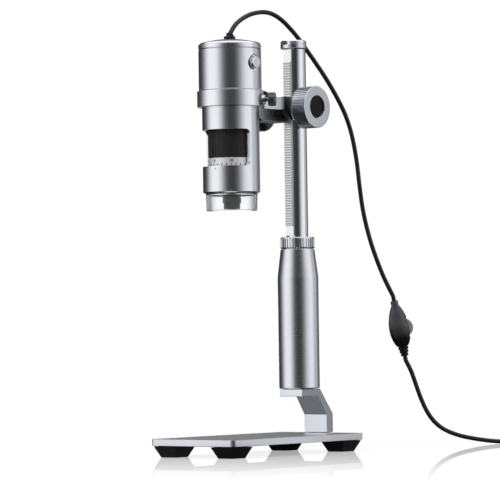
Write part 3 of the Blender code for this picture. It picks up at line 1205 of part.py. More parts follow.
def make_lens_group():
    place = {"location": (0, SCOPE_Y, 0)}
    neck_bore = BARREL_NECK_RADIUS + SEAT
    neck_seat = CARRIAGE_BOTTOM_Z + BARREL_NECK_LENGTH + SEAT
    top = CARRIAGE_BOTTOM_Z + CARRIAGE_LENGTH
    profile = [
        (neck_bore, CARRIAGE_BOTTOM_Z), (CARRIAGE_RADIUS, CARRIAGE_BOTTOM_Z), (CARRIAGE_RADIUS, top),
        (BARREL_BORE, top), (BARREL_BORE, neck_seat), (neck_bore, neck_seat),
    ]
    turned("lens_carriage", profile, BLACK_PLASTIC, MIDDLE_SIDES, **place)
    shoulder = CARRIAGE_BOTTOM_Z - SEAT
    nose = BARREL_BOTTOM_Z + BARREL_NOSE_LENGTH
    lens_low = BARREL_BOTTOM_Z + LENS_SINK
    lens_high = lens_low + LENS_THICKNESS
    ledge = BARREL_BORE - LENS_CROWN
    profile = [
        (BARREL_BORE, BARREL_BOTTOM_Z), (BARREL_NOSE_RADIUS, BARREL_BOTTOM_Z), (BARREL_NOSE_RADIUS, nose),
        (BARREL_RADIUS, nose), (BARREL_RADIUS, shoulder), (BARREL_NECK_RADIUS, shoulder),
        (BARREL_NECK_RADIUS, CARRIAGE_BOTTOM_Z + BARREL_NECK_LENGTH),
        (ledge, CARRIAGE_BOTTOM_Z + BARREL_NECK_LENGTH), (ledge, lens_high + SEAT),
        (BARREL_BORE, lens_high + SEAT),
    ]
    turned("lens_barrel", profile, BLACK_PLASTIC, MIDDLE_SIDES, **place)
    radius = BARREL_BORE - SEAT
    profile = [(0, lens_low - LENS_CROWN), (radius / 2, lens_low - LENS_CROWN / 2), (radius, lens_low),
               (radius, lens_high), (0, lens_high)]
    turned("front_lens", profile, LENS_GLASS, SMALL_SIDES, **place)


# Nose cap, lights and boards

def make_nose():
    place = {"location": (0, SCOPE_Y, 0)}
    spigot_inner = NOSE_SPIGOT_RADIUS - NOSE_SPIGOT_WALL
    ledge = spigot_inner - NOSE_SPIGOT_WALL
    inner = NOSE_RIM_RADIUS - NOSE_WALL
    top = NOSE_TOP_Z + NOSE_SPIGOT_HEIGHT
    profile = [
        (inner, NOSE_BOTTOM_Z), (NOSE_RIM_RADIUS, NOSE_BOTTOM_Z), (NOSE_RADIUS, NOSE_TOP_Z),
        (NOSE_SPIGOT_RADIUS, NOSE_TOP_Z), (NOSE_SPIGOT_RADIUS, top), (spigot_inner, top),
        (spigot_inner, NOSE_TOP_Z + NOSE_LEDGE_HEIGHT), (ledge, NOSE_TOP_Z + NOSE_LEDGE_HEIGHT),
        (ledge, NOSE_TOP_Z), (inner, NOSE_TOP_Z - NOSE_LEDGE_HEIGHT),
    ]
    turned("nose_cap", profile, CLEAR_PLASTIC, LARGE_SIDES, **place)
    radius = spigot_inner - SEAT
    profile = [
        (LIGHT_BOARD_HOLE, LIGHT_BOARD_Z), (radius, LIGHT_BOARD_Z),
        (radius, LIGHT_BOARD_Z + LIGHT_BOARD_THICKNESS),
        (LIGHT_BOARD_HOLE, LIGHT_BOARD_Z + LIGHT_BOARD_THICKNESS),
    ]
    board = turned("light_board", profile, WHITE_NYLON, MIDDLE_SIDES, **place)
    high = LIGHT_BOARD_Z + LIGHT_BOARD_THICKNESS / 2
    low = LIGHT_BOARD_Z - LIGHT_HEIGHT
    dome = [(0, low), (LIGHT_RADIUS / 2, low), (LIGHT_RADIUS, low + LIGHT_RADIUS / 2), (LIGHT_RADIUS, high),
            (0, high)]
    for number in range(LIGHT_COUNT):
        angle = FULL_TURN * (number + 0.5) / LIGHT_COUNT
        spot = (LIGHT_CIRCLE * math.cos(angle), SCOPE_Y + LIGHT_CIRCLE * math.sin(angle), 0)
        combine(board, turned(f"light_{number}", dome, WHITE_NYLON, TINY_SIDES, location=spot), "UNION")


def make_boards(button_back):
    base = SENSOR_LEDGE_Z + SENSOR_LEDGE_HEIGHT + SEAT
    place = {"location": (0, SCOPE_Y, 0)}
    rod("sensor_board", BODY_INNER_RADIUS - RUNNING, base, base + BOARD_THICKNESS, BOARD_GREEN, MIDDLE_SIDES,
        **place)
    half = SENSOR_SIZE / 2
    top = base - SEAT
    block("image_sensor", (-half, -half, top - SENSOR_HEIGHT), (half, half, top), BLACK_PLASTIC, **place)
    low = BODY_TOP_Z + BODY_NECK_HEIGHT + SEAT
    high = LID_BOTTOM_Z - LID_SPIGOT_DEPTH - SEAT
    half = MAIN_BOARD_WIDTH / 2
    right = MAIN_BOARD_X + BOARD_THICKNESS
    block("main_board", (MAIN_BOARD_X, -half, low), (right, half, high), BOARD_GREEN, **place)
    half = SWITCH_SIZE / 2
    start = right + SEAT
    end = min(start + SWITCH_HEIGHT, button_back - BUTTON_TRAVEL - SEAT)
    block("snap_switch", (start, -half, BUTTON_Z - half), (end, half, BUTTON_Z + half), BLACK_PLASTIC, **place)


# Dimmer on the lead

def dimmer_matrix():
    """Local Z runs up the lead, local X to the side where the wheel shows."""
    up = (DIMMER_TOP - DIMMER_BOTTOM).normalized()
    side = Vector((math.cos(DIMMER_FACE_AZIMUTH), math.sin(DIMMER_FACE_AZIMUTH), 0))
    side = (side - side.dot(up) * up).normalized()
    turn = Matrix((side, up.cross(side), up)).transposed()
    return Matrix.Translation((DIMMER_TOP + DIMMER_BOTTOM) / 2) @ turn.to_4x4()


def dimmer_profile():
    """Hollow half section: a plain collar above, a lens-shaped middle and ribs below."""
    half = (DIMMER_TOP - DIMMER_BOTTOM).length / 2
    bulge_low = -half + DIMMER_RIBBED_LENGTH
    bulge_high = half - DIMMER_COLLAR_LENGTH
    outer = [(DIMMER_END_RADIUS, -half)]
    rib = DIMMER_RIBBED_LENGTH / DIMMER_RIB_COUNT
    for number in range(DIMMER_RIB_COUNT):
        base = -half + number * rib
        outer += [(DIMMER_END_RADIUS, base + rib / 2), (DIMMER_END_RADIUS - DIMMER_RIB_DEPTH, base + rib / 2),
                  (DIMMER_END_RADIUS - DIMMER_RIB_DEPTH, base + rib), (DIMMER_END_RADIUS, base + rib)]
    inner = []
    for number in range(DIMMER_STEP_COUNT + 1):
        share = number / DIMMER_STEP_COUNT
        z = bulge_low + (bulge_high - bulge_low) * share
        swell = math.sin(HALF_TURN * share) ** 0.8 if 0 < share < 1 else 0.0
        radius = DIMMER_END_RADIUS + (DIMMER_RADIUS - DIMMER_END_RADIUS) * swell
        outer.append((radius, z))
        inner.append((max(DIMMER_BORE, radius - DIMMER_WALL), z))
    outer += [(DIMMER_END_RADIUS, half), (DIMMER_BORE, half)]
    return outer + [(r, z) for r, z in reversed(inner)] + [(DIMMER_BORE, -half)]


def make_dimmer():
    centre = dimmer_matrix()
    axis = axis_empty("dimmer_axis", centre.to_translation(), centre.to_euler())
    profile = dimmer_profile()
    half_gap = SEAT / 2
    reach = WHEEL_RADIUS + RUNNING
    for name, start, side in (("dimmer_rear_shell", 0, 1), ("dimmer_front_shell", HALF_TURN, -1)):
        shape = turned_shape(profile, SMALL_SIDES, HALF_TURN)
        bmesh.ops.rotate(shape, verts=shape.verts, cent=(0, 0, 0), matrix=Matrix.Rotation(start, 3, "Z"))
        bmesh.ops.scale(shape, verts=shape.verts, vec=(1, DIMMER_FLAT_SHARE, 1))
        bmesh.ops.translate(shape, verts=shape.verts, vec=(0, side * half_gap, 0))
        shell = finished(name, shape, BLACK_PLASTIC, parent=axis)
        slot_half = WHEEL_THICKNESS / 2 + RUNNING
        slot = block(f"wheel_slot_{name}", (WHEEL_OFFSET, -slot_half, -reach),
                     (WHEEL_OFFSET + reach, slot_half, reach), BLACK_PLASTIC, parent=axis)
        combine(shell, slot)
    wheel_axis = {"location": (WHEEL_OFFSET, 0, 0), "turn": TOWARDS_REAR, "parent": axis}
    rings = [grooved_circle(WHEEL_RADIUS, WHEEL_NOTCH_DEPTH, WHEEL_NOTCH_COUNT, z)
             for z in (-WHEEL_THICKNESS / 2, WHEEL_THICKNESS / 2)]
    wheel = lofted("dimmer_wheel", rings, GREY_PLASTIC, **wheel_axis)
    pins = rod("wheel_pins", WHEEL_PIN_RADIUS, -WHEEL_PIN_REACH, WHEEL_PIN_REACH, GREY_PLASTIC, TINY_SIDES,
               **wheel_axis)
    combine(wheel, pins, "UNION")


# Lead, coil and plug

def coil_path():
    """Spirals in on the table, climbs a layer in half a turn, and spirals out on top."""
    heading = Vector((math.cos(COIL_HEADING), math.sin(COIL_HEADING), 0))
    left = Vector((-heading.y, heading.x, 0))
    centre = COIL_ENTRY + left * COIL_OUTER_RADIUS
    inner = COIL_OUTER_RADIUS - COIL_PITCH * COIL_TURNS_IN
    climb_turns = 0.5
    total = COIL_TURNS_IN + climb_turns + COIL_TURNS_OUT
    count = round(total * COIL_POINT_COUNT)
    points = [COIL_ENTRY - heading * CORD_STRAIGHT]
    for i in range(count + 1):
        turns = total * i / count
        climbed = min(max(turns - COIL_TURNS_IN, 0.0), climb_turns) / climb_turns
        out_turns = max(turns - COIL_TURNS_IN - climb_turns, 0.0)
        radius = inner + COIL_PITCH * (max(COIL_TURNS_IN - turns, 0.0) + out_turns)
        angle = COIL_HEADING - HALF_TURN / 2 + FULL_TURN * turns
        lift = COIL_LAYER * climbed
        points.append(centre + Vector((radius * math.cos(angle), radius * math.sin(angle), lift)))
    last = (points[-1] - points[-2]).normalized()
    return points + [points[-1] + last * COIL_TAIL]


def least_gap(points):
    """The least clear distance between stretches of the coil that aren't neighbours."""
    skip = COIL_POINT_COUNT // 2
    nearest = min(
        (points[i] - points[j]).length
        for i in range(1, len(points) - 1)
        for j in range(i + skip, len(points) - 1)
    )
    return nearest - 2 * CORD_RADIUS


def stepped_back(start, towards, gap):
    """The point a gap away from start, on the way to towards."""
    return start + (towards - start).normalized() * gap


def make_cords():
    up = (DIMMER_TOP - DIMMER_BOTTOM).normalized()
    arch = smooth_route([Vector(p) for p in ARCH_ROUTE], CORD_STEP)
    tube("cord_arch", arch, CORD_RADIUS, CORD_BLACK, 2)
    drop = [Vector(p) for p in DROP_ROUTE] + [DIMMER_TOP + up * CORD_STRAIGHT, DIMMER_TOP + up * SEAT]
    drop[0] = stepped_back(drop[0], drop[1], SEAT)
    tube("cord_drop", smooth_route(drop, CORD_STEP), CORD_RADIUS, CORD_BLACK, 2)
    coil = coil_path()
    end = stepped_back(coil[0], 2 * coil[0] - coil[1], SEAT)
    lower = [DIMMER_BOTTOM - up * SEAT, DIMMER_BOTTOM - up * CORD_STRAIGHT]
    lower += [Vector(p) for p in LOWER_ROUTE] + [end]
    tube("cord_lower", smooth_route(lower, CORD_STEP), CORD_RADIUS, CORD_BLACK, 2)
    tube("cord_coil", coil, CORD_RADIUS, CORD_BLACK, 1)
    print(f"least gap in the coil: {least_gap(coil) / MM:.2f} mm")
    return coil


def make_plug(coil):
    """Local X runs out of the coil's end, along the lead."""
    way = coil[-1] - coil[-2]
    heading = math.atan2(way.y, way.x)
    axis = axis_empty("plug_axis", coil[-1], (0, 0, heading))
    grip_start = PLUG_RELIEF_LENGTH + SEAT
    grip_end = grip_start + PLUG_GRIP_LENGTH
    along = {"turn": TOWARDS_RIGHT, "parent": axis}
    grip_section = rounded_box(PLUG_GRIP_THICKNESS, PLUG_GRIP_WIDTH, PLUG_GRIP_EDGE, 2)
    inset = PLUG_GRIP_EDGE
    small_section = rounded_box(PLUG_GRIP_THICKNESS - inset, PLUG_GRIP_WIDTH - inset, PLUG_GRIP_EDGE, 2)
    rings = [[(*p, z) for p in section] for section, z in (
        (small_section, grip_start), (grip_section, grip_start + inset), (grip_section, grip_end))]
    grip = lofted("plug_grip", rings, BLACK_PLASTIC, **along)
    relief = turned(
        "plug_relief",
        [(0, SEAT), (CORD_RADIUS * 1.2, SEAT), (PLUG_RELIEF_RADIUS, grip_start + inset), (0, grip_start + inset)],
        BLACK_PLASTIC, SMALL_SIDES, **along,
    )
    combine(grip, relief, "UNION")
    half_width = PLUG_SHELL_WIDTH / 2
    half_thickness = PLUG_SHELL_THICKNESS / 2
    low = grip_end + SEAT
    high = low + PLUG_SHELL_LENGTH
    shell = block("plug_shell", (low, -half_width, -half_thickness), (high, half_width, half_thickness),
                  POLISHED_STEEL, parent=axis)
    wall = PLUG_SHELL_WALL
    mouth = block("plug_mouth", (low - OVERRUN, wall - half_width, wall - half_thickness),
                  (high + OVERRUN, half_width - wall, half_thickness - wall), POLISHED_STEEL, parent=axis)
    combine(shell, mouth)
    floor = PLUG_TONGUE_GAP + wall - half_thickness
    side = wall + PLUG_TONGUE_GAP - half_width
    tongue = block("plug_tongue", (low - OVERRUN, side, floor),
                   (high - OVERRUN, -side, floor + PLUG_TONGUE_THICKNESS), BLACK_PLASTIC, parent=axis)
    combine(grip, tongue, "UNION")


def main():
    plate = make_base()
    bolt_hole = make_bracket(plate)
    make_sleeve(bolt_hole)
    make_bush()
    make_collar()
    make_post()
    make_rack()
    make_post_cap()
    block_body = make_focus_block()
    make_bushings()
    make_pinion_shaft()
    for side, side_x in SIDES:
        make_knob(side, side_x)
    make_holder(block_body)
    make_thumbscrew()
    make_lower_body()
    make_upper_housing()
    make_lid()
    make_grommet()
    button_back = make_snap_button()
    make_dial()
    make_lens_group()
    make_nose()
    make_boards(button_back)
    make_dimmer()
    coil = make_cords()
    make_plug(coil)


main()
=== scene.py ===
import math

import bmesh
import bpy
from mathutils import Matrix, Vector


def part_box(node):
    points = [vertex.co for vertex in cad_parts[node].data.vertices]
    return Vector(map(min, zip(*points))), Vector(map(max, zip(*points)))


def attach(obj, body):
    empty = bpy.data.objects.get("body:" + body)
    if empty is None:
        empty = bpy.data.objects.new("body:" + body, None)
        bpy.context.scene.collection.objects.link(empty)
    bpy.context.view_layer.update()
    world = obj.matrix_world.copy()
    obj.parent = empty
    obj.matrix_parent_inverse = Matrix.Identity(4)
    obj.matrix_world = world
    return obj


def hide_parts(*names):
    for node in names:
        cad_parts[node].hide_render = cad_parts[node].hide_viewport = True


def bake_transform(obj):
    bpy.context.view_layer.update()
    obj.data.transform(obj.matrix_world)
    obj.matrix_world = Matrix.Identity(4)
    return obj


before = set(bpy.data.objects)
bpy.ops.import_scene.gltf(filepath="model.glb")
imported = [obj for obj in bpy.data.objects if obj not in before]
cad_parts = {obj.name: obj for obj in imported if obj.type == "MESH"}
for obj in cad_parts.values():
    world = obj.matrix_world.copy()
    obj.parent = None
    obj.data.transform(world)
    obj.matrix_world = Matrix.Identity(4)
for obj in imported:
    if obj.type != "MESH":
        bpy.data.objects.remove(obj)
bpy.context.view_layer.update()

# The table, the studio and the camera.
# A white table top with a faint gloss stands in a white room. Reflections see a round wall
# graded from two soft boxes to the dark between them, which gives the turned metal its bands.
MM = 0.001
DEGREE = math.pi / 180
WHITE = (1, 1, 1, 1)
CAMERA_PLACE = (1.21746, -1.48093, 0.07803)
CAMERA_AZIMUTH = -50.467 * DEGREE
CAMERA_TILT = 1.382 * DEGREE
CAMERA_ROLL = -0.825 * DEGREE
CAMERA_LENS = 226.7
CAMERA_SENSOR = 36
LAMP_AIM = Vector((0, 0, 0.12))
LAMP_SIZE = 1.0
LAMPS = (
    ("key_lamp", (0.2, -1.1, 1.3), 7.0),
    ("fill_lamp", (1.3, 0.2, 1.1), 3.5),
    ("back_lamp", (-0.9, 0.7, 1.2), 3.0),
)
ROOM_FILL = 0.55
WALL_DISTANCE = 1.15
WALL_LOW = -0.3
WALL_HIGH = 1.1
STRIP_DISTANCE = 1.1
STRIP_HALF_ANGLE = 18 * DEGREE
STRIP_LOW = -0.05
STRIP_HIGH = 0.1
ROOM_DARK = 0.03
ROOM_BLUE_SHARE = 1.03
ROOM_SHADES = (
    (-140, 0.03), (-124, 0.05), (-111, 0.17), (-100, 0.5), (-90, 0.85), (-80, 1.0), (-57, 1.0),
    (-46, 0.82), (-37, 0.52), (-28, 0.22), (-20, 0.09), (-11, 0.045), (8, 0.035), (22, 0.07),
    (36, 0.3), (48, 0.62), (62, 0.86), (84, 0.94), (92, 0.86), (97, 0.42), (102, 0.4),
    (107, 0.6), (118, 0.42), (134, 0.14), (150, 0.05), (160, 0.03),
)
TABLE_SIZE = 6
TABLE_MATT = 0.32
TABLE_LIFT = 0.74
TABLE_WHITE_FROM = 0.35
TABLE_WHITE_TO = 0.8
SHEEN_ROUGHNESS = 0.008
SHEEN_SHARE = 0.5
SHEEN_SHIFT = 0.06
SHEEN_REACH = 0.48
SHEEN_STEEP = 0.915
SHEEN_FLAT = 0.948
GLOW_STEEP = 0.55
GLOW_FLAT = 0.92
GLOW_STEEP_SHADE = 0.06


def give(tree, socket, value):
    """Feed a socket from another node, or set it to a plain value."""
    if isinstance(value, bpy.types.NodeSocket):
        tree.links.new(value, socket)
    else:
        socket.default_value = value


def linked(tree, kind, *feeds, **settings):
    """A new node with what its inputs get, in their order or by their names with _ for a space.
    A name that is one of the node's own options sets that option."""
    node = tree.nodes.new("ShaderNode" + kind)
    for socket, value in zip(node.inputs, feeds):
        give(tree, socket, value)
    for name, value in settings.items():
        if hasattr(node, name):
            setattr(node, name, value)
        else:
            give(tree, node.inputs[name.replace("_", " ")], value)
    return node


def eased(tree, value, start, end, first, last):
    """From the first share to the last, softly, while the value goes from start to end."""
    return linked(
        tree, "MapRange", value, start, end, first, last, interpolation_type="SMOOTHSTEP"
    ).outputs["Result"]


def maths(tree, operation, *feeds):
    return linked(tree, "Math", *feeds, operation=operation).outputs[0]


def light_studio():
    """A white room, and three soft lamps that reflections don't see."""
    world = bpy.data.worlds.new("white_room")
    bpy.context.scene.world = world
    world.use_nodes = True
    tree = world.node_tree
    tree.nodes.clear()
    rays = linked(tree, "LightPath").outputs
    seen = maths(tree, "MAXIMUM", rays["Is Camera Ray"], rays["Is Glossy Ray"])
    seen_through = maths(tree, "MAXIMUM", seen, rays["Is Transmission Ray"])
    fill = linked(tree, "Background", Color=WHITE, Strength=ROOM_FILL)
    wall = linked(tree, "Background", Color=WHITE, Strength=1.0)
    mix = linked(tree, "MixShader", seen_through, fill.outputs[0], wall.outputs[0])
    linked(tree, "OutputWorld", Surface=mix.outputs[0])
    for name, place, power in LAMPS:
        bpy.ops.object.light_add(type="AREA", location=place)
        lamp = bpy.context.active_object
        lamp.name = name
        lamp.data.size = LAMP_SIZE
        lamp.data.energy = power
        lamp.rotation_euler = (Vector(place) - LAMP_AIM).to_track_quat("Z", "Y").to_euler()
        lamp.visible_glossy = False


def room_glow(tree, strength):
    """How bright the room is in reflections: two tall soft boxes and the dark between them, by
    the angle in degrees round from the camera."""
    place = linked(tree, "TexCoord").outputs["Object"]
    faced = linked(tree, "Mapping", place, Rotation=(0, 0, -CAMERA_AZIMUTH))
    split = linked(tree, "SeparateXYZ", faced.outputs[0]).outputs
    angle = maths(tree, "ARCTAN2", split["Y"], split["X"])
    share = linked(tree, "MapRange", angle, -math.pi, math.pi)
    ramp = linked(tree, "ValToRGB", share.outputs["Result"])
    ramp.color_ramp.interpolation = "EASE"
    first, last = ramp.color_ramp.elements
    first.color = last.color = (ROOM_DARK, ROOM_DARK, ROOM_DARK, 1)
    for degrees, shade in ROOM_SHADES:
        stop = ramp.color_ramp.elements.new((degrees + 180) / 360)
        stop.color = (shade, shade, min(1, shade * ROOM_BLUE_SHARE), 1)
    return linked(tree, "Emission", ramp.outputs["Color"], strength)


def screen(name, radius, low, high, half_angle=None):
    """A round wall that only reflections see: graded like the room, or, with a half angle, a
    plain white strip of that width behind the object."""
    bpy.ops.mesh.primitive_circle_add(vertices=180, radius=radius, location=(0, 0, low))
    wall = bpy.context.active_object
    wall.name = name
    behind = CAMERA_AZIMUTH + math.pi
    bpy.ops.object.mode_set(mode="EDIT")
    if half_angle:
        bpy.ops.mesh.select_all(action="DESELECT")
        shape = bmesh.from_edit_mesh(wall.data)
        for point in shape.verts:
            turn = math.atan2(point.co.y, point.co.x) - behind
            point.select_set(math.cos(turn) < math.cos(half_angle))
        shape.select_flush_mode()
        bmesh.update_edit_mesh(wall.data)
        bpy.ops.mesh.delete(type="VERT")
    bpy.ops.mesh.select_all(action="SELECT")
    bpy.ops.mesh.extrude_edges_move(TRANSFORM_OT_translate={"value": (0, 0, high - low)})
    bpy.ops.object.mode_set(mode="OBJECT")
    finish = bpy.data.materials.new(name)
    finish.use_nodes = True
    tree = finish.node_tree
    tree.nodes.clear()
    glow = linked(tree, "Emission", WHITE, 1.0) if half_angle else room_glow(tree, 1.0)
    linked(tree, "OutputMaterial", Surface=glow.outputs[0])
    wall.data.materials.append(finish)
    bpy.ops.object.transform_apply(location=True, rotation=True, scale=True)
    for ray in ("camera", "diffuse", "transmission", "shadow", "volume_scatter"):
        setattr(wall, "visible_" + ray, False)


def lay_table():
    """The camera sees the table white, with the object's shadow and, in a flat view, a mirror
    image that fades towards the camera. Metal sees the room's shades in it."""
    bpy.ops.mesh.primitive_plane_add(size=TABLE_SIZE, location=(0, 0, 0))
    table = bpy.context.active_object
    table.name = "table_top"
    gloss = bpy.data.materials.new("white_table")
    gloss.use_nodes = True
    tree = gloss.node_tree
    tree.nodes.clear()
    rays = linked(tree, "LightPath").outputs
    place = linked(tree, "TexCoord").outputs["Object"]
    flatness = linked(tree, "LayerWeight", Blend=0.5).outputs["Facing"]
    matt = linked(tree, "BsdfDiffuse", Color=(TABLE_MATT, TABLE_MATT, TABLE_MATT, 1))
    lift_strength = maths(tree, "MULTIPLY", rays["Is Camera Ray"], TABLE_LIFT)
    lift = linked(tree, "Emission", WHITE, lift_strength)
    base = linked(tree, "AddShader", matt.outputs[0], lift.outputs[0])
    towards_camera = linked(
        tree, "Mapping", place, Rotation=(0, 0, -CAMERA_AZIMUTH), Location=(SHEEN_SHIFT, 0, 0)
    )
    forward = linked(tree, "SeparateXYZ", towards_camera.outputs[0]).outputs["X"]
    reach = eased(tree, forward, 0.0, SHEEN_REACH, SHEEN_SHARE, 0.0)
    glancing = eased(tree, flatness, SHEEN_STEEP, SHEEN_FLAT, 0.0, 1.0)
    sheen_share = maths(tree, "MULTIPLY", reach, glancing)
    sheen = linked(tree, "BsdfGlossy", Color=WHITE, Roughness=SHEEN_ROUGHNESS)
    near = linked(tree, "MixShader", sheen_share, base.outputs[0], sheen.outputs[0])
    away = linked(tree, "VectorMath", place, operation="LENGTH").outputs["Value"]
    far = eased(tree, away, TABLE_WHITE_FROM, TABLE_WHITE_TO, 0.0, 1.0)
    seen_far = maths(tree, "MULTIPLY", far, rays["Is Camera Ray"])
    white = linked(tree, "Emission", WHITE, 1.0)
    faded = linked(tree, "MixShader", seen_far, near.outputs[0], white.outputs[0])
    room = room_glow(tree, eased(tree, flatness, GLOW_STEEP, GLOW_FLAT, GLOW_STEEP_SHADE, 1.0))
    seen = linked(tree, "MixShader", rays["Is Glossy Ray"], faded.outputs[0], room.outputs[0])
    linked(tree, "OutputMaterial", Surface=seen.outputs[0])
    table.data.materials.append(gloss)


light_studio()
lay_table()
screen("room_wall", WALL_DISTANCE, WALL_LOW, WALL_HIGH)
screen("white_strip", STRIP_DISTANCE, STRIP_LOW, STRIP_HIGH, STRIP_HALF_ANGLE)
bpy.ops.object.camera_add(location=CAMERA_PLACE)
camera = bpy.context.active_object
camera.name = "camera"
camera.data.lens = CAMERA_LENS
camera.data.sensor_width = CAMERA_SENSOR
camera.rotation_euler = (
    Matrix.Rotation(CAMERA_AZIMUTH + math.pi / 2, 3, "Z")
    @ Matrix.Rotation(math.pi / 2 + CAMERA_TILT, 3, "X")
    @ Matrix.Rotation(CAMERA_ROLL, 3, "Z")
).to_euler()
bpy.context.scene.camera = camera
bpy.context.scene.view_settings.view_transform = "Standard"

# The base plate.
# A flat bar of aluminium, sawn to length, its corners rounded and its edges broken, bead
# blasted and anodised grey.
PLATE_CORNER = 3.5 * MM
PLATE_EDGE_BREAK = 0.35 * MM
METAL_GRAIN_SIZE = 0.2 * MM
METAL_GRAIN_DEPTH = 0.006 * MM
METAL_SPREAD = 0.015
LINE_SCALES = {"Z": (12, 12, 900), "X": (900, 12, 12), None: (60, 60, 60)}
SMOOTH_ANGLE = 30 * DEGREE


def tone(red, green, blue):
    """A colour as a painter reads it, 0 to 255, turned into the light that it sends back."""
    shares = [value / 255 for value in (red, green, blue)]
    return tuple(
        share / 12.92 if share <= 0.04045 else ((share + 0.055) / 1.055) ** 2.4
        for share in shares
    )


def alone(piece):
    """Pick this piece only, in object mode."""
    if bpy.context.mode != "OBJECT":
        bpy.ops.object.mode_set(mode="OBJECT")
    bpy.ops.object.select_all(action="DESELECT")
    piece.select_set(True)
    bpy.context.view_layer.objects.active = piece


def pick(piece, kind, wanted):
    """Go into edit mode with only the faces, edges or points picked that the test wants."""
    alone(piece)
    bpy.ops.object.mode_set(mode="EDIT")
    bpy.ops.mesh.select_mode(type={"faces": "FACE", "edges": "EDGE", "verts": "VERT"}[kind])
    bpy.ops.mesh.select_all(action="DESELECT")
    shape = bmesh.from_edit_mesh(piece.data)
    for part in getattr(shape, kind):
        if wanted(part):
            part.select_set(True)
    bmesh.update_edit_mesh(piece.data)


def rounded(piece, wanted, width, segments):
    """Round the edges that the test wants."""
    pick(piece, "edges", wanted)
    bpy.ops.mesh.bevel(offset=width, segments=segments)


def settle(piece):
    """Leave edit mode and put the piece's place into its mesh."""
    alone(piece)
    bpy.ops.object.transform_apply(location=True, rotation=True, scale=True)
    return piece


def cube(name, low, high):
    """A block between two corners."""
    middle = [(a + b) / 2 for a, b in zip(low, high)]
    bpy.ops.mesh.primitive_cube_add(size=1, location=middle)
    piece = bpy.context.active_object
    piece.name = name
    piece.scale = [b - a for a, b in zip(low, high)]
    return settle(piece)


def upright(edge):
    a, b = (point.co for point in edge.verts)
    return abs(a.x - b.x) < 1e-6 and abs(a.y - b.y) < 1e-6


def broken_edges(piece, width, segments=2, angle=35):
    """Break the sharp edges with a small round."""
    alone(piece)
    bpy.ops.object.modifier_add(type="BEVEL")
    edge = piece.modifiers[-1]
    edge.width = width
    edge.segments = segments
    edge.limit_method = "ANGLE"
    edge.angle_limit = angle * DEGREE
    edge.use_clamp_overlap = True
    bpy.ops.object.modifier_apply(modifier=edge.name)


def new_finish(name, colour):
    """A new material of this colour, its node tree and its shader's inputs."""
    made = bpy.data.materials.new(name)
    made.use_nodes = True
    shader = made.node_tree.nodes["Principled BSDF"].inputs
    shader["Base Color"].default_value = (*colour, 1)
    return made, made.node_tree, shader


def metal(name, colour, roughness, grain=0.0, streaks=None, centre=(0, 0, 0)):
    """Bare or anodised metal. The grain is the blasted skin. Streaks are the fine lines that
    turning leaves round an upright or a lying axis, "Z" or "X", through the centre."""
    made, tree, shader = new_finish(name, colour)
    shader["Metallic"].default_value = 1.0
    place = linked(tree, "TexCoord").outputs["Object"]
    lines = linked(
        tree, "Mapping", place, Location=[-value for value in centre], Scale=LINE_SCALES[streaks]
    )
    cloud = linked(tree, "TexNoise", Vector=lines.outputs[0], Scale=4.0, Detail=4.0)
    spread = linked(
        tree, "MapRange", cloud.outputs[0], 0.3, 0.7,
        roughness * (1 - METAL_SPREAD), roughness * (1 + METAL_SPREAD),
    )
    tree.links.new(spread.outputs[0], shader["Roughness"])
    if grain:
        beads = linked(tree, "TexNoise", Vector=place, Scale=1 / METAL_GRAIN_SIZE, Detail=2.0)
        bump = linked(
            tree, "Bump", Height=beads.outputs[0], Strength=grain, Distance=METAL_GRAIN_DEPTH
        )
        tree.links.new(bump.outputs[0], shader["Normal"])
    return made


def fitted(piece, finish, body, slot, *nodes):
    """Give the piece its finish, shade its rounds, and hang it on its body of the model."""
    alone(piece)
    bpy.ops.object.shade_smooth_by_angle(angle=SMOOTH_ANGLE)
    bpy.ops.object.modifier_add(type="WEIGHTED_NORMAL")
    piece.modifiers[-1].keep_sharp = True
    bpy.ops.object.modifier_apply(modifier=piece.modifiers[-1].name)
    piece.data.materials.clear()
    piece.data.materials.append(finish)
    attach(piece, body)
    if nodes:
        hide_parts(*nodes)
    return piece


ANODISED_GREY = tone(236, 238, 243)
plate_grey = metal("plate_grey", ANODISED_GREY, 0.36, grain=0.25)
plate = cube("plate", *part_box("base_plate"))
rounded(plate, upright, PLATE_CORNER, 8)
broken_edges(plate, PLATE_EDGE_BREAK)
fitted(plate, plate_grey, "stand", "base_plate", "base_plate")

# The four feet.
# Moulded blocks of black rubber, square above and narrower below, each held by a screw from
# underneath in a round counterbore.
FOOT_BOTTOM_SHARE = 11.6 / 18.0
FOOT_EDGE = 0.35 * MM
FOOT_WELL_RADIUS = 3.4 * MM
FOOT_WELL_DEPTH = 3.8 * MM
FOOT_BLACK = tone(24, 24, 25)
MOULD_GRAIN_SIZE = 0.5 * MM
MOULD_GRAIN_DEPTH = 0.04 * MM
GLOSS_ROUGHNESS = 0.12
SCREW_STEEL = tone(120, 122, 126)


def soft_black(name, colour, roughness, grain=0.3, gloss=0.0):
    """Rubber or plastic, mostly black, with a fine moulded skin and a share of gloss over it."""
    made, tree, shader = new_finish(name, colour)
    shader["Coat Weight"].default_value = gloss
    shader["Coat Roughness"].default_value = GLOSS_ROUGHNESS
    place = linked(tree, "TexCoord").outputs["Object"]
    skin = linked(tree, "TexNoise", Vector=place, Scale=1 / MOULD_GRAIN_SIZE, Detail=3.0)
    cloud = linked(tree, "TexNoise", Vector=place, Scale=160.0, Detail=3.0)
    spread = linked(
        tree, "MapRange", cloud.outputs[0], To_Min=roughness * 0.85, To_Max=roughness * 1.2
    )
    bump = linked(
        tree, "Bump", Height=skin.outputs[0], Strength=grain, Distance=MOULD_GRAIN_DEPTH
    )
    tree.links.new(spread.outputs[0], shader["Roughness"])
    tree.links.new(bump.outputs[0], shader["Normal"])
    return made


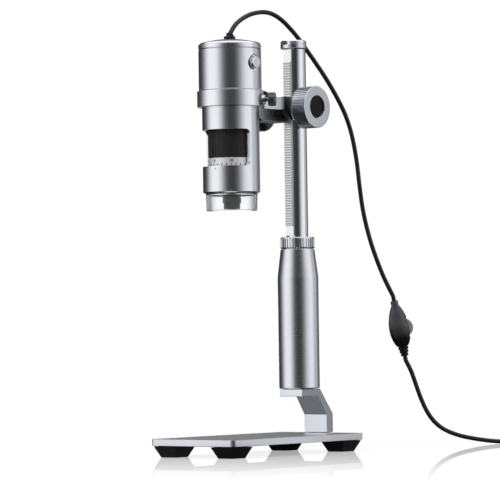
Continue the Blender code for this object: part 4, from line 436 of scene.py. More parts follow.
def cut(piece, tool, operation="DIFFERENCE"):
    """Take the tool's shape out of the piece, or join it on, and put the tool away."""
    alone(piece)
    bpy.ops.object.modifier_add(type="BOOLEAN")
    step = piece.modifiers[-1]
    step.object = tool
    step.operation = operation
    step.solver = "EXACT"
    bpy.ops.object.modifier_apply(modifier=step.name)
    bpy.data.objects.remove(tool, do_unlink=True)


def turned(name, axis, steps, sides=96):
    """A turned piece on an upright axis: a ring drawn up and down through the steps, each a
    radius and a height. A wall that comes back to its first step is closed round; any other
    piece is faced off at both ends."""
    if bpy.context.mode != "OBJECT":
        bpy.ops.object.mode_set(mode="OBJECT")
    bpy.ops.object.select_all(action="DESELECT")
    radius, height = steps[0]
    bpy.ops.mesh.primitive_circle_add(vertices=sides, radius=radius, location=(*axis, height))
    piece = bpy.context.active_object
    piece.name = name
    bpy.ops.object.mode_set(mode="EDIT")
    bpy.ops.mesh.select_mode(type="VERT")
    bpy.ops.mesh.select_all(action="SELECT")
    for wider, higher in steps[1:]:
        bpy.ops.mesh.extrude_edges_move(TRANSFORM_OT_translate={"value": (0, 0, higher - height)})
        share = wider / radius
        bpy.ops.transform.resize(value=(share, share, 1), center_override=(*axis, higher))
        radius = wider
        height = higher
    bpy.ops.mesh.select_all(action="SELECT")
    bpy.ops.mesh.remove_doubles(threshold=0.002 * MM)
    bpy.ops.mesh.select_all(action="SELECT")
    bpy.ops.mesh.fill_holes(sides=0)
    bpy.ops.mesh.select_all(action="SELECT")
    bpy.ops.mesh.normals_make_consistent(inside=False)
    return settle(piece)


def dressed(node, finish):
    """A hidden piece of hardware keeps its solid and gets its finish."""
    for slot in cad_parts[node].material_slots:
        slot.material = finish


foot_rubber = soft_black("foot_rubber", FOOT_BLACK, 0.55)
screw_steel = metal("screw_steel", SCREW_STEEL, 0.30, streaks="Z")
for corner in ("front_left", "front_right", "rear_left", "rear_right"):
    low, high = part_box("foot_" + corner)
    middle = (low + high) / 2
    foot = cube("rubber_foot_" + corner, low, high)
    pick(foot, "faces", lambda face: face.normal.z < -0.9)
    bpy.ops.transform.resize(
        value=(FOOT_BOTTOM_SHARE, FOOT_BOTTOM_SHARE, 1), center_override=(middle.x, middle.y, low.z)
    )
    well_top = low.z + FOOT_WELL_DEPTH
    well_steps = [(FOOT_WELL_RADIUS, low.z - 1 * MM), (FOOT_WELL_RADIUS, well_top)]
    well = turned("foot_well", middle.xy, well_steps, 48)
    cut(foot, well)
    broken_edges(foot, FOOT_EDGE)
    fitted(foot, foot_rubber, "stand", "feet", "foot_" + corner)
    dressed("foot_screw_" + corner, screw_steel)

# The Z-shaped bracket.
# A bar of aluminium milled to a leg, a slope and a tongue, screwed to the plate from below. A
# bolt through the tongue holds the sleeve.
BRACKET_EDGE = 0.35 * MM
BRACKET_HALF = 8.85 * MM
LEG_FRONT_Y = 55.85 * MM
LEG_REAR_Y = 62.25 * MM
LEG_BOTTOM_Z = 11.4 * MM
LEG_FRONT_Z = 22.3 * MM
LEG_REAR_Z = 23.0 * MM
TONGUE_FRONT_Y = 31.75 * MM
TONGUE_UNDER_Y = 47.65 * MM
TONGUE_REAR_Y = 49.85 * MM
TONGUE_BOTTOM_Z = 34.2 * MM
TONGUE_TOP_Z = 38.7 * MM
BRACKET_GREY = tone(232, 236, 243)
BOLT_Y = 40.45 * MM
SLOPE_RISE = 12 * MM
TONGUE_REACH = 10 * MM


def in_mm(*steps):
    """Steps of a turned piece written in millimetres."""
    return [(radius * MM, height * MM) for radius, height in steps]


def slide(piece, kind, wanted, way):
    """Move the picked part of the piece."""
    pick(piece, kind, wanted)
    bpy.ops.transform.translate(value=way)
    alone(piece)


def shaded(finish, *rules):
    """Paint shade into a finish by darkening its colour. Each rule says along which axis, round
    which place, how far the first share of the colour goes, over what width it turns into the
    second share, both shares, and whether the least or the most of it and the rules before counts."""
    tree = finish.node_tree
    base = tree.nodes["Principled BSDF"].inputs["Base Color"]
    place = linked(tree, "TexCoord").outputs["Object"]
    split = linked(tree, "SeparateXYZ", place).outputs
    share = None
    for axis, middle, reach, width, inside, outside, counts in rules:
        away = maths(tree, "ABSOLUTE", maths(tree, "SUBTRACT", split[axis], middle))
        ruled = linked(tree, "MapRange", away, reach, reach + width, inside, outside).outputs[0]
        share = maths(tree, counts, share, ruled) if share else ruled
    dimmed = linked(tree, "VectorMath", base.default_value[:3], operation="SCALE", Scale=share)
    tree.links.new(dimmed.outputs[0], base)
    return finish


bracket_grey = metal("bracket_grey", BRACKET_GREY, 0.26, grain=0.2)
# Painted shade: the bracket is darkened along its slope, which faces down, and on its sides.
shaded(
    bracket_grey,
    ("Z", 28.25 * MM, 5.7 * MM, 0.2 * MM, 0.3, 1.0, "MINIMUM"),
    ("X", 0, BRACKET_HALF - 0.15 * MM, 0.1 * MM, 0.0, 0.55, "MAXIMUM"),
    ("X", 0, BRACKET_HALF - 0.15 * MM, 0.1 * MM, 1.0, 0.55, "MINIMUM"),
)
bracket = cube(
    "milled_bracket",
    (-BRACKET_HALF, LEG_FRONT_Y, LEG_BOTTOM_Z), (BRACKET_HALF, LEG_REAR_Y, LEG_REAR_Z),
)
pick(bracket, "verts", lambda point: point.co.z > 20 * MM and point.co.y < 60 * MM)
bpy.ops.transform.translate(value=(0, 0, LEG_FRONT_Z - LEG_REAR_Z))
pick(bracket, "faces", lambda face: face.normal.z > 0.5)
bpy.ops.mesh.extrude_region_move(TRANSFORM_OT_translate={"value": (0, 0, SLOPE_RISE)})
slide(
    bracket, "verts", lambda point: point.co.z > 33 * MM and point.co.y > 60 * MM,
    (0, TONGUE_REAR_Y - LEG_REAR_Y, TONGUE_TOP_Z - LEG_REAR_Z - SLOPE_RISE),
)
slide(
    bracket, "verts", lambda point: point.co.z > 33 * MM and point.co.y > 52 * MM,
    (0, TONGUE_UNDER_Y - LEG_FRONT_Y, TONGUE_BOTTOM_Z - LEG_FRONT_Z - SLOPE_RISE),
)
pick(
    bracket, "faces",
    lambda face: abs(face.normal.x) < 0.5 and face.calc_center_median().z > 35 * MM
    and min(point.co.z for point in face.verts) > 33 * MM,
)
bpy.ops.mesh.extrude_region_move(TRANSFORM_OT_translate={"value": (0, -TONGUE_REACH, 0)})
slide(
    bracket, "verts", lambda point: point.co.y < 41 * MM and point.co.z > 36 * MM,
    (0, TONGUE_FRONT_Y - TONGUE_REAR_Y + TONGUE_REACH, 0),
)
slide(
    bracket, "verts", lambda point: point.co.y < 41 * MM and point.co.z < 36 * MM,
    (0, TONGUE_FRONT_Y - TONGUE_UNDER_Y + TONGUE_REACH, 0),
)
cut(bracket, turned(
    "bolt_hole", (0, BOLT_Y),
    in_mm((4.5, 33), (4.5, 34.65), (2.8, 36.35), (2.8, 40)), 64,
))
broken_edges(bracket, BRACKET_EDGE, angle=50)
fitted(bracket, bracket_grey, "stand", "bracket", "z_bracket")
bolt = turned(
    "countersunk_bolt", (0, BOLT_Y),
    in_mm((2.2, 34.5), (4.05, 34.5), (4.2, 34.65), (2.5, 36.3), (2.5, 47.6), (2.1, 48.0)), 64,
)
cut(bolt, turned("bolt_socket", (0, BOLT_Y), in_mm((1.75, 34), (1.75, 36.1)), 6))
fitted(bolt, screw_steel, "stand", "screws", "sleeve_bolt")
for name in ("bracket_screw_left", "bracket_screw_right"):
    dressed(name, screw_steel)

# The sleeve.
# A long handle turned from aluminium bar, tapered to a spigot at the top where a split nylon
# bush closes on the post. It is blasted, anodised grey and bolted down from below.
POST_AXIS = (0, BOLT_Y)
SLEEVE_RADIUS = 12.6 * MM
SLEEVE_LOW = 39.0 * MM
SLEEVE_HIGH = 129.0 * MM
SPIGOT_LOW = 125.0 * MM
POST_BORE = 7.05 * MM
BUSH_BORE = 7.95 * MM
BUSH_LOW = 114.4 * MM
BOLT_BORE = 2.8 * MM
SLEEVE_GREY = tone(238, 240, 245)
NYLON_WHITE = tone(226, 226, 220)

sleeve_grey = metal(
    "sleeve_grey", SLEEVE_GREY, 0.27, grain=0.05, streaks="Z", centre=(*POST_AXIS, 0)
)
sleeve = turned(
    "sleeve_tube", POST_AXIS,
    [
        (BOLT_BORE, SLEEVE_LOW), (SLEEVE_RADIUS - 0.8 * MM, SLEEVE_LOW),
        (SLEEVE_RADIUS - 0.2 * MM, 39.25 * MM), (SLEEVE_RADIUS, 39.8 * MM),
        (SLEEVE_RADIUS, 107.0 * MM), (SLEEVE_RADIUS - 0.06 * MM, 108.2 * MM),
        (10.5 * MM, 124.7 * MM), (10.2 * MM, SPIGOT_LOW), (9.0 * MM, SPIGOT_LOW),
        (9.0 * MM, SLEEVE_HIGH), (BUSH_BORE, SLEEVE_HIGH), (BUSH_BORE, BUSH_LOW),
        (POST_BORE, BUSH_LOW), (POST_BORE, 50.5 * MM), (BOLT_BORE, 50.5 * MM),
        (BOLT_BORE, SLEEVE_LOW),
    ],
)
fitted(sleeve, sleeve_grey, "stand", "sleeve", "sleeve")
nylon = soft_black("nylon", NYLON_WHITE, 0.5)
dressed("post_bush", nylon)

# The lock collar.
# A straight-knurled ring turned from bright steel. Screwing it down closes the bush on the post.
COLLAR_RADIUS = 10.8 * MM
COLLAR_LOW = 125.3 * MM
COLLAR_HIGH = 132.5 * MM
COLLAR_KNURL_COUNT = 40
COLLAR_KNURL_DEPTH = 0.45 * MM
BRIGHT_STEEL = tone(240, 242, 246)


def knurled(piece, axis, radius, low, high, count, depth):
    """Press upright grooves into the round wall between two heights."""

    def in_groove(point):
        across = point.co.x - axis[0]
        along = point.co.y - axis[1]
        turn = (math.atan2(along, across) / (2 * math.pi) * count + 0.125) % 1
        on_wall = abs(math.hypot(across, along) - radius) < 0.02 * MM
        return low < point.co.z < high and on_wall and turn > 0.5

    pick(piece, "verts", in_groove)
    share = 1 - depth / radius
    bpy.ops.transform.resize(value=(share, share, 1), center_override=(*axis, (low + high) / 2))
    alone(piece)


collar_steel = metal("collar_steel", BRIGHT_STEEL, 0.16, streaks="Z", centre=(*POST_AXIS, 0))
collar = turned(
    "knurled_collar", POST_AXIS,
    [
        (9.3 * MM, COLLAR_LOW), (10.0 * MM, COLLAR_LOW), (COLLAR_RADIUS, COLLAR_LOW + 0.9 * MM),
        (COLLAR_RADIUS, COLLAR_HIGH - 0.9 * MM), (10.0 * MM, COLLAR_HIGH), (POST_BORE, COLLAR_HIGH),
        (POST_BORE, 129.3 * MM), (9.3 * MM, 129.3 * MM), (9.3 * MM, COLLAR_LOW),
    ],
    sides=4 * COLLAR_KNURL_COUNT,
)
knurled(
    collar, POST_AXIS, COLLAR_RADIUS, COLLAR_LOW, COLLAR_HIGH,
    COLLAR_KNURL_COUNT, COLLAR_KNURL_DEPTH,
)
fitted(collar, collar_steel, "lock_collar", "collar", "lock_collar")

# The post with its rack.
# A ground and polished steel rod with a milled slot, in which a strip of fine rack teeth is
# pressed. The rod slides in the sleeve.
POST_RADIUS = 6.75 * MM
POST_LOW = 50.8 * MM
POST_HIGH = 248.8 * MM
SLOT_HALF = 3.2 * MM
SLOT_FLOOR_Y = POST_AXIS[1] - 4.4 * MM
RACK_ROOT_Y = 32.0 * MM
RACK_MIDDLE_Z = 190.4 * MM
RACK_TOOTHED_HALF = 50.3 * MM
RACK_HALF = 2.82 * MM
POLISHED = tone(242, 243, 246)

post_polish = metal("post_polish", POLISHED, 0.10, streaks="Z", centre=(*POST_AXIS, 0))
rack_polish = metal("rack_polish", tone(246, 247, 249), 0.24, grain=0.15)
# Painted shade: along the toothed length the teeth darken towards their roots, and the sides are
# darkened.
shaded(
    rack_polish,
    ("Y", RACK_ROOT_Y, 0.75 * MM, 0.2 * MM, 1.0, 0.6, "MINIMUM"),
    ("Z", RACK_MIDDLE_Z, RACK_TOOTHED_HALF, 0.1 * MM, 0.0, 1.0, "MAXIMUM"),
    ("X", 0, RACK_HALF, 0.05 * MM, 1.0, 0.4, "MINIMUM"),
)
post = turned(
    "post_rod", POST_AXIS,
    [(6.35 * MM, POST_LOW), (POST_RADIUS, POST_LOW + 0.4 * MM), (POST_RADIUS, POST_HIGH - 0.2 * MM),
     (POST_RADIUS - 0.2 * MM, POST_HIGH)],
    sides=128,
)
cut(post, cube("rack_slot", (-SLOT_HALF, 30 * MM, 133.2 * MM), (SLOT_HALF, SLOT_FLOOR_Y, 252 * MM)))
cut(post, turned("cap_thread", POST_AXIS, in_mm((2.3, 239), (2.3, 252)), 32))
fitted(post, post_polish, "post", "post", "post")
dressed("rack", rack_polish)

# The cap on the post.
# Turned aluminium with a fine groove and a milled notch in front, held by a countersunk screw.
CAP_RADIUS = 8.0 * MM
CAP_AXIS = (0, POST_AXIS[1] - 1.1 * MM)
CAP_LOW = 249.1 * MM
CAP_HIGH = 254.2 * MM
CAP_GREY = tone(236, 238, 243)

cap_grey = metal("cap_grey", CAP_GREY, 0.24, grain=0.1, streaks="Z", centre=(*POST_AXIS, 0))
cap = turned(
    "turned_cap", CAP_AXIS,
    [
        (0.3 * MM, CAP_LOW), (CAP_RADIUS - 0.25 * MM, CAP_LOW), (CAP_RADIUS, CAP_LOW + 0.25 * MM),
        (CAP_RADIUS, 251.85 * MM), (CAP_RADIUS - 0.25 * MM, 252.0 * MM),
        (CAP_RADIUS - 0.25 * MM, 252.3 * MM), (CAP_RADIUS, 252.45 * MM),
        (CAP_RADIUS, CAP_HIGH - 0.8 * MM), (CAP_RADIUS - 0.8 * MM, CAP_HIGH), (0.3 * MM, CAP_HIGH),
    ],
)
cut(cap, turned(
    "cap_screw_hole", POST_AXIS,
    [
        (2.3 * MM, CAP_LOW - 1 * MM), (2.3 * MM, 251.4 * MM), (4.3 * MM, 253.6 * MM),
        (4.3 * MM, CAP_HIGH + 1 * MM),
    ],
    64,
))
cut(cap, cube("cap_notch", (-3 * MM, 28 * MM, CAP_HIGH - 2.8 * MM), (3 * MM, 34.65 * MM, 256 * MM)))
fitted(cap, cap_grey, "post", "post_cap", "post_cap")
dressed("cap_screw", screw_steel)

# The focus block and what it carries.
# A milled aluminium block slides on the post, with the rack in a channel through it. The pinion
# shaft turns in two bronze bushes, and a spacer keeps each knob off the block. The spacers' black
# also stands for the shade that falls between block and knob.
PINION_Y = 28.40 * MM
PINION_Z = 211.3 * MM
PINION_PLACE = (0, PINION_Y, PINION_Z)
BLOCK_HALF = 8.75 * MM
BLOCK_FRONT_Y = 18.85 * MM
BLOCK_REAR_Y = 49.85 * MM
BLOCK_LOW = 205.0 * MM
BLOCK_HIGH = 218.2 * MM
SPACER_RADIUS = 7.4 * MM
SPACER_BORE = 4.75 * MM
SPACER_REACH = 14.4 * MM
SEAT_TOP_Y = 19.45 * MM
SEAT_TOP_Z = 210.3 * MM
SEAT_SLANT = 7.2 * MM
SEAT_DEPTH = 7.6 * MM
SEAT_FRONT_Y = 15 * MM
BLOCK_GREY = tone(196, 200, 207)
SIDEWAYS = (0, math.pi / 2, 0)


def laid(piece, place, turn):
    """Turn a piece made on the upright axis at the origin, and set it in its place."""
    alone(piece)
    piece.rotation_euler = turn
    piece.location = place
    return settle(piece)


block_grey = metal("block_grey", BLOCK_GREY, 0.26, grain=0.2)
block = cube(
    "milled_block",
    (-BLOCK_HALF, BLOCK_FRONT_Y, BLOCK_LOW), (BLOCK_HALF, BLOCK_REAR_Y, BLOCK_HIGH),
)
rounded(block, upright, 2.0 * MM, 6)
cut(block, turned("post_bore", POST_AXIS, in_mm((7.05, 200), (7.05, 225))))
cut(block, cube("rack_channel", (-3.25 * MM, 31.65 * MM, 200 * MM), (3.25 * MM, 41 * MM, 225 * MM)))
pinion_bore = turned("pinion_bore", (0, 0), in_mm((4.7, -16), (4.7, 16)), 64)
cut(block, laid(pinion_bore, PINION_PLACE, SIDEWAYS))
arm_seat = cube(
    "arm_seat", (-10 * MM, SEAT_FRONT_Y, SEAT_TOP_Z - SEAT_DEPTH),
    (10 * MM, SEAT_TOP_Y, SEAT_TOP_Z + 0.3 * MM),
)


def low_at_rear(point):
    """The lower rear edge of the seat and of the arm's end that lies in it."""
    return point.co.y > SEAT_FRONT_Y + 2 * MM and point.co.z < 205 * MM


slide(arm_seat, "verts", low_at_rear, (0, SEAT_SLANT, 0))
cut(block, arm_seat)
broken_edges(block, 0.25 * MM, angle=50)
fitted(block, block_grey, "carriage", "focus_block", "focus_block")
# Painted shade: the spacers are made black for the shade between the block and the knobs.
spacer_black = soft_black("spacer_black", tone(18, 18, 20), 0.4, grain=0.1)
for side, side_x in (("left", -1), ("right", 1)):
    spacer = turned(
        "spacer_" + side, (0, 0),
        [
            (SPACER_BORE, BLOCK_HALF), (SPACER_RADIUS, BLOCK_HALF),
            (SPACER_RADIUS, SPACER_REACH - 0.3 * MM), (SPACER_RADIUS - 0.3 * MM, SPACER_REACH),
            (SPACER_BORE, SPACER_REACH), (SPACER_BORE, BLOCK_HALF),
        ],
    )
    laid(spacer, PINION_PLACE, (0, side_x * math.pi / 2, 0))
    fitted(spacer, spacer_black, "carriage", "knob_insert")
bush_bronze = metal("bush_bronze", tone(176, 140, 84), 0.35)
for name in ("pinion_bush_left", "pinion_bush_right"):
    dressed(name, bush_bronze)
dressed("pinion_shaft", post_polish)
for name in ("knob_set_screw_left", "knob_set_screw_right", "arm_screw_left", "arm_screw_right"):
    dressed(name, screw_steel)

# The two focus knobs.
# Turned aluminium with straight flutes and a plain band at the outer face. A black disc is
# glued in the face, and a set screw holds each knob on the pinion shaft.
KNOB_RADIUS = 12.8 * MM
KNOB_INNER = 15.4 * MM
KNOB_OUTER = 26.8 * MM
KNOB_BAND = 0.9 * MM
KNOB_FLUTE_COUNT = 48
KNOB_FLUTE_DEPTH = 0.75 * MM
KNOB_RECESS_RADIUS = 7.05 * MM
KNOB_RECESS_DEPTH = 1.2 * MM
KNOB_GREY = tone(222, 225, 231)
KNOB_FACE_ROUGHNESS = 0.34


def dull_face(finish, start, roughness, axis="X", middle=0):
    """A face left duller than the rest: from this far from the middle the metal is rougher."""
    tree = finish.node_tree
    spread = next(node for node in tree.nodes if node.bl_idname == "ShaderNodeMapRange").inputs
    place = linked(tree, "TexCoord").outputs["Object"]
    split = linked(tree, "SeparateXYZ", place).outputs
    away = maths(tree, "ABSOLUTE", maths(tree, "SUBTRACT", split[axis], middle))
    face = linked(
        tree, "MapRange", away, start, start + 0.1 * MM, spread["To Min"].default_value, roughness
    ).outputs[0]
    tree.links.new(face, spread["To Min"])
    tree.links.new(maths(tree, "MULTIPLY", face, 1.01), spread["To Max"])
    return finish


knob_grey = metal("knob_grey", KNOB_GREY, 0.20, grain=0.03, streaks="X", centre=PINION_PLACE)
dull_face(knob_grey, KNOB_OUTER - 0.25 * MM, KNOB_FACE_ROUGHNESS)
# Painted shade: the knobs' inner faces, towards the block, are darkened nearly to black.
shaded(knob_grey, ("X", 0, KNOB_INNER + 0.5 * MM, 0.1 * MM, 0.12, 1.0, "MINIMUM"))
insert_black = soft_black("insert_black", tone(6, 6, 9), 0.3, grain=0.1)
insert_black.node_tree.nodes["Principled BSDF"].inputs["Specular IOR Level"].default_value = 0.2
for side, side_x in (("left", -1), ("right", 1)):
    band = KNOB_OUTER - KNOB_BAND
    knob = turned(
        "knob_" + side, (0, 0),
        [
            (3.3 * MM, KNOB_INNER), (KNOB_RADIUS - 0.9 * MM, KNOB_INNER),
            (KNOB_RADIUS, KNOB_INNER + 0.5 * MM), (KNOB_RADIUS, band),
            (KNOB_RADIUS, band + 0.5 * MM), (KNOB_RADIUS, KNOB_OUTER - 0.5 * MM),
            (KNOB_RADIUS - 0.15 * MM, KNOB_OUTER - 0.15 * MM), (KNOB_RADIUS - 0.5 * MM, KNOB_OUTER),
            (KNOB_RECESS_RADIUS + 0.2 * MM, KNOB_OUTER),
            (KNOB_RECESS_RADIUS, KNOB_OUTER - 0.2 * MM),
            (KNOB_RECESS_RADIUS, KNOB_OUTER - KNOB_RECESS_DEPTH),
            (3.3 * MM, KNOB_OUTER - KNOB_RECESS_DEPTH), (3.3 * MM, KNOB_INNER),
        ],
        sides=4 * KNOB_FLUTE_COUNT,
    )
    knurled(
        knob, (0, 0), KNOB_RADIUS, KNOB_INNER, band + 0.2 * MM, KNOB_FLUTE_COUNT, KNOB_FLUTE_DEPTH
    )
    laid(knob, PINION_PLACE, (0, side_x * math.pi / 2, 0))
    fitted(knob, knob_grey, "pinion", "knobs", "focus_knob_" + side)
    disc = turned(
        "knob_disc_" + side, (0, 0),
        [
            (6.75 * MM, KNOB_OUTER - 1.15 * MM), (6.75 * MM, KNOB_OUTER - 0.95 * MM),
            (6.6 * MM, KNOB_OUTER - 0.85 * MM), (3.0 * MM, KNOB_OUTER - 0.92 * MM),
            (0.5 * MM, KNOB_OUTER - 0.95 * MM),
        ],
    )
    laid(disc, PINION_PLACE, (0, side_x * math.pi / 2, 0))
    fitted(disc, insert_black, "pinion", "knob_insert", "knob_insert_" + side)

# The arm and the holder ring.
# One piece of aluminium: a bar, rounded at its lower front corner, is screwed to the block and
# carries the ring in which the microscope stands.
SCOPE_AXIS = (0, -22.3 * MM)
RING_OUTER = 20.1 * MM
RING_BORE = 17.55 * MM
RING_LOW = 210.2 * MM
RING_HIGH = 220.0 * MM
ARM_HALF = 7.0 * MM
ARM_FRONT_Y = -4.15 * MM
ARM_REAR_Y = SEAT_TOP_Y - 0.42 * MM
ARM_LOW = 202.7 * MM
ARM_HIGH = 210.3 * MM
PAD_HIGH = 210.6 * MM
ARM_CORNER = 5.0 * MM
THUMBSCREW_TURN = 32 * DEGREE
THUMBSCREW_Z = 214.6 * MM
RING_GREY = tone(245, 247, 250)
DULL_BELOW = 202.9 * MM
FAR_ABOVE = 300 * MM

ring_grey = metal("ring_grey", RING_GREY, 0.27, grain=0.03, streaks="Z", centre=(*SCOPE_AXIS, 0))
dull_face(ring_grey, FAR_ABOVE - DULL_BELOW, 0.9, axis="Z", middle=FAR_ABOVE)
ring = turned(
    "ring_band", SCOPE_AXIS,
    [
        (0.4 * MM, RING_LOW), (RING_OUTER - 0.4 * MM, RING_LOW),
        (RING_OUTER - 0.1 * MM, RING_LOW + 0.1 * MM), (RING_OUTER, RING_LOW + 0.4 * MM),
        (RING_OUTER, RING_HIGH - 0.4 * MM), (RING_OUTER - 0.1 * MM, RING_HIGH - 0.1 * MM),
        (RING_OUTER - 0.4 * MM, RING_HIGH), (0.4 * MM, RING_HIGH),
    ],
    sides=128,
)
arm = cube("arm_bar", (-ARM_HALF, ARM_FRONT_Y, ARM_LOW), (ARM_HALF, ARM_REAR_Y, ARM_HIGH))
rounded(
    arm, lambda edge: all(point.co.y < 0 and point.co.z < 205 * MM for point in edge.verts),
    ARM_CORNER, 10,
)
slide(arm, "verts", low_at_rear, (0, SEAT_SLANT, 0))
ring_pad = cube(
    "ring_pad",
    (-ARM_HALF, ARM_FRONT_Y - 2 * MM, ARM_HIGH - 3 * MM), (ARM_HALF, -2.2 * MM, PAD_HIGH),
)
cut(arm, ring_pad, "UNION")
cut(ring, arm, "UNION")
ring_boss = turned("ring_boss", (0, 0), in_mm((2.7, 17.6), (2.7, 21.2), (2.5, 21.4)), 48)
thumbscrew_place = (0, SCOPE_AXIS[1], THUMBSCREW_Z)
thumbscrew_lie = (0, math.pi / 2, THUMBSCREW_TURN)
cut(ring, laid(ring_boss, thumbscrew_place, thumbscrew_lie), "UNION")
ring_bore = turned(
    "ring_bore", SCOPE_AXIS,
    [
        (18.15 * MM, 200 * MM), (18.15 * MM, RING_LOW - 0.3 * MM), (RING_BORE, RING_LOW - 0.3 * MM),
        (RING_BORE, 225 * MM),
    ],
    sides=128,
)
cut(ring, ring_bore)
screw_hole = turned("screw_hole", (0, 0), in_mm((1.6, 10), (1.6, 25)), 32)
cut(ring, laid(screw_hole, thumbscrew_place, thumbscrew_lie))
broken_edges(ring, 0.25 * MM, angle=50)
fitted(ring, ring_grey, "carriage", "holder", "holder_ring")

# The thumbscrew.
# Turned steel, dark and knurled, it presses on the microscope through the ring's wall.
THUMBSCREW_RADIUS = 4.15 * MM
THUMBSCREW_START = 17.9 * MM
THUMBSCREW_HEAD = 23.2 * MM
THUMBSCREW_END = 27.6 * MM
THUMBSCREW_KNURL_COUNT = 30

thumbscrew_steel = metal("thumbscrew_steel", tone(142, 147, 150), 0.36, grain=0.1)
thumbscrew = turned(
    "knurled_thumbscrew", (0, 0),
    [
        (1.0 * MM, THUMBSCREW_START), (1.3 * MM, THUMBSCREW_START + 0.3 * MM),
        (1.3 * MM, THUMBSCREW_HEAD - 0.3 * MM), (1.6 * MM, THUMBSCREW_HEAD),
        (3.7 * MM, THUMBSCREW_HEAD), (THUMBSCREW_RADIUS, THUMBSCREW_HEAD + 0.5 * MM),
        (THUMBSCREW_RADIUS, THUMBSCREW_END - 0.5 * MM), (3.7 * MM, THUMBSCREW_END),
        (2.2 * MM, THUMBSCREW_END), (1.9 * MM, THUMBSCREW_END - 0.3 * MM),
        (0.3 * MM, THUMBSCREW_END - 0.35 * MM),
    ],
    sides=4 * THUMBSCREW_KNURL_COUNT,
)
knurled(
    thumbscrew, (0, 0), THUMBSCREW_RADIUS, THUMBSCREW_HEAD, THUMBSCREW_END,
    THUMBSCREW_KNURL_COUNT, 0.3 * MM,
)
laid(thumbscrew, thumbscrew_place, thumbscrew_lie)
fitted(thumbscrew, thumbscrew_steel, "thumbscrew", "thumbscrew", "thumbscrew")

# The microscope's lower body.
# A turned aluminium tube with a bevel at the bottom, a neck above for the upper housing and a
# ledge inside for the sensor board. The front is milled flat across to open a window.
BODY_RADIUS = 17.25 * MM
BODY_INNER = 14.75 * MM
BODY_LOW = 158.2 * MM
BODY_HIGH = 219.85 * MM
NECK_RADIUS = 16.6 * MM
NECK_HIGH = 226.85 * MM
LEDGE_BORE = 12.85 * MM
LEDGE_LOW = 204.5 * MM
LEDGE_HIGH = 207.7 * MM
WINDOW_LOW = 174.3 * MM
WINDOW_HIGH = 196.3 * MM
WINDOW_BACK_Y = SCOPE_AXIS[1] - 2.55 * MM
WINDOW_CORNER = 3.0 * MM
HOUSING_GREY = tone(241, 243, 248)

housing_grey = metal(
    "housing_grey", HOUSING_GREY, 0.25, grain=0.03, streaks="Z", centre=(*SCOPE_AXIS, 0)
)
lower_body = turned(
    "body_tube", SCOPE_AXIS,
    [
        (BODY_INNER, BODY_LOW), (BODY_RADIUS - 0.7 * MM, BODY_LOW),
        (BODY_RADIUS, BODY_LOW + 0.7 * MM), (BODY_RADIUS, BODY_HIGH), (NECK_RADIUS, BODY_HIGH),
        (NECK_RADIUS, NECK_HIGH), (BODY_INNER, NECK_HIGH), (BODY_INNER, LEDGE_HIGH),
        (LEDGE_BORE, LEDGE_HIGH), (LEDGE_BORE, LEDGE_LOW), (BODY_INNER, LEDGE_LOW),
        (BODY_INNER, BODY_LOW),
    ],
    sides=128,
)
window = cube(
    "window_tool",
    (-25 * MM, SCOPE_AXIS[1] - 25 * MM, WINDOW_LOW), (25 * MM, WINDOW_BACK_Y, WINDOW_HIGH),
)
rounded(
    window,
    lambda edge: all(point.co.y > SCOPE_AXIS[1] - 10 * MM for point in edge.verts)
    and abs(edge.verts[0].co.x - edge.verts[1].co.x) > 1 * MM,
    WINDOW_CORNER, 8,
)
cut(lower_body, window)
broken_edges(lower_body, 0.12 * MM, segments=1, angle=50)
fitted(lower_body, housing_grey, "scope", "housing", "lower_body")

# The upper housing and its lid.
# Turned from the same aluminium. The housing slips over the body's neck, and the lid with its
# rounded edge is pushed into the housing.
HOUSING_RADIUS = 19.0 * MM
HOUSING_INNER = 17.0 * MM
HOUSING_LOW = 220.3 * MM
HOUSING_HIGH = 245.0 * MM
BUTTON_PLACE = (0, SCOPE_AXIS[1], 236.3 * MM)
LID_LOW = 245.3 * MM

housing = turned(
    "housing_tube", SCOPE_AXIS,
    [
        (HOUSING_INNER, HOUSING_LOW), (HOUSING_RADIUS - 0.3 * MM, HOUSING_LOW),
        (HOUSING_RADIUS, HOUSING_LOW + 0.3 * MM), (HOUSING_RADIUS, HOUSING_HIGH - 0.3 * MM),
        (HOUSING_RADIUS - 0.3 * MM, HOUSING_HIGH), (HOUSING_INNER, HOUSING_HIGH),
        (HOUSING_INNER, HOUSING_LOW),
    ],
    sides=128,
)
button_well = turned(
    "button_well", (0, 0),
    in_mm((3.95, 12), (3.95, 18.0), (5.0, 18.0), (5.0, 20.5)), 96,
)
cut(housing, laid(button_well, BUTTON_PLACE, SIDEWAYS))
broken_edges(housing, 0.15 * MM, angle=50)
fitted(housing, housing_grey, "scope", "housing", "upper_housing")
lid = turned(
    "turned_lid", SCOPE_AXIS,
    [
        (2.9 * MM, LID_LOW), (2.9 * MM, 251.4 * MM), (6.5 * MM, 251.12 * MM),
        (10.6 * MM, 250.55 * MM), (14.5 * MM, 249.83 * MM), (17.4 * MM, 249.16 * MM),
        (17.75 * MM, 249.0 * MM), (18.5 * MM, 248.42 * MM), (18.9 * MM, 248.0 * MM),
        (HOUSING_RADIUS, 247.75 * MM), (HOUSING_RADIUS, LID_LOW + 0.3 * MM), (18.7 * MM, LID_LOW),
        (16.65 * MM, LID_LOW), (16.65 * MM, 242.0 * MM), (14.65 * MM, 242.0 * MM),
        (14.65 * MM, LID_LOW), (2.9 * MM, LID_LOW),
    ],
    sides=128,
)
fitted(lid, housing_grey, "scope", "housing", "top_lid")

# The snap button.
# A turned aluminium button in a shallow dish on the right side of the housing.
BUTTON_RADIUS = 3.6 * MM
BUTTON_FACE = 21.1 * MM

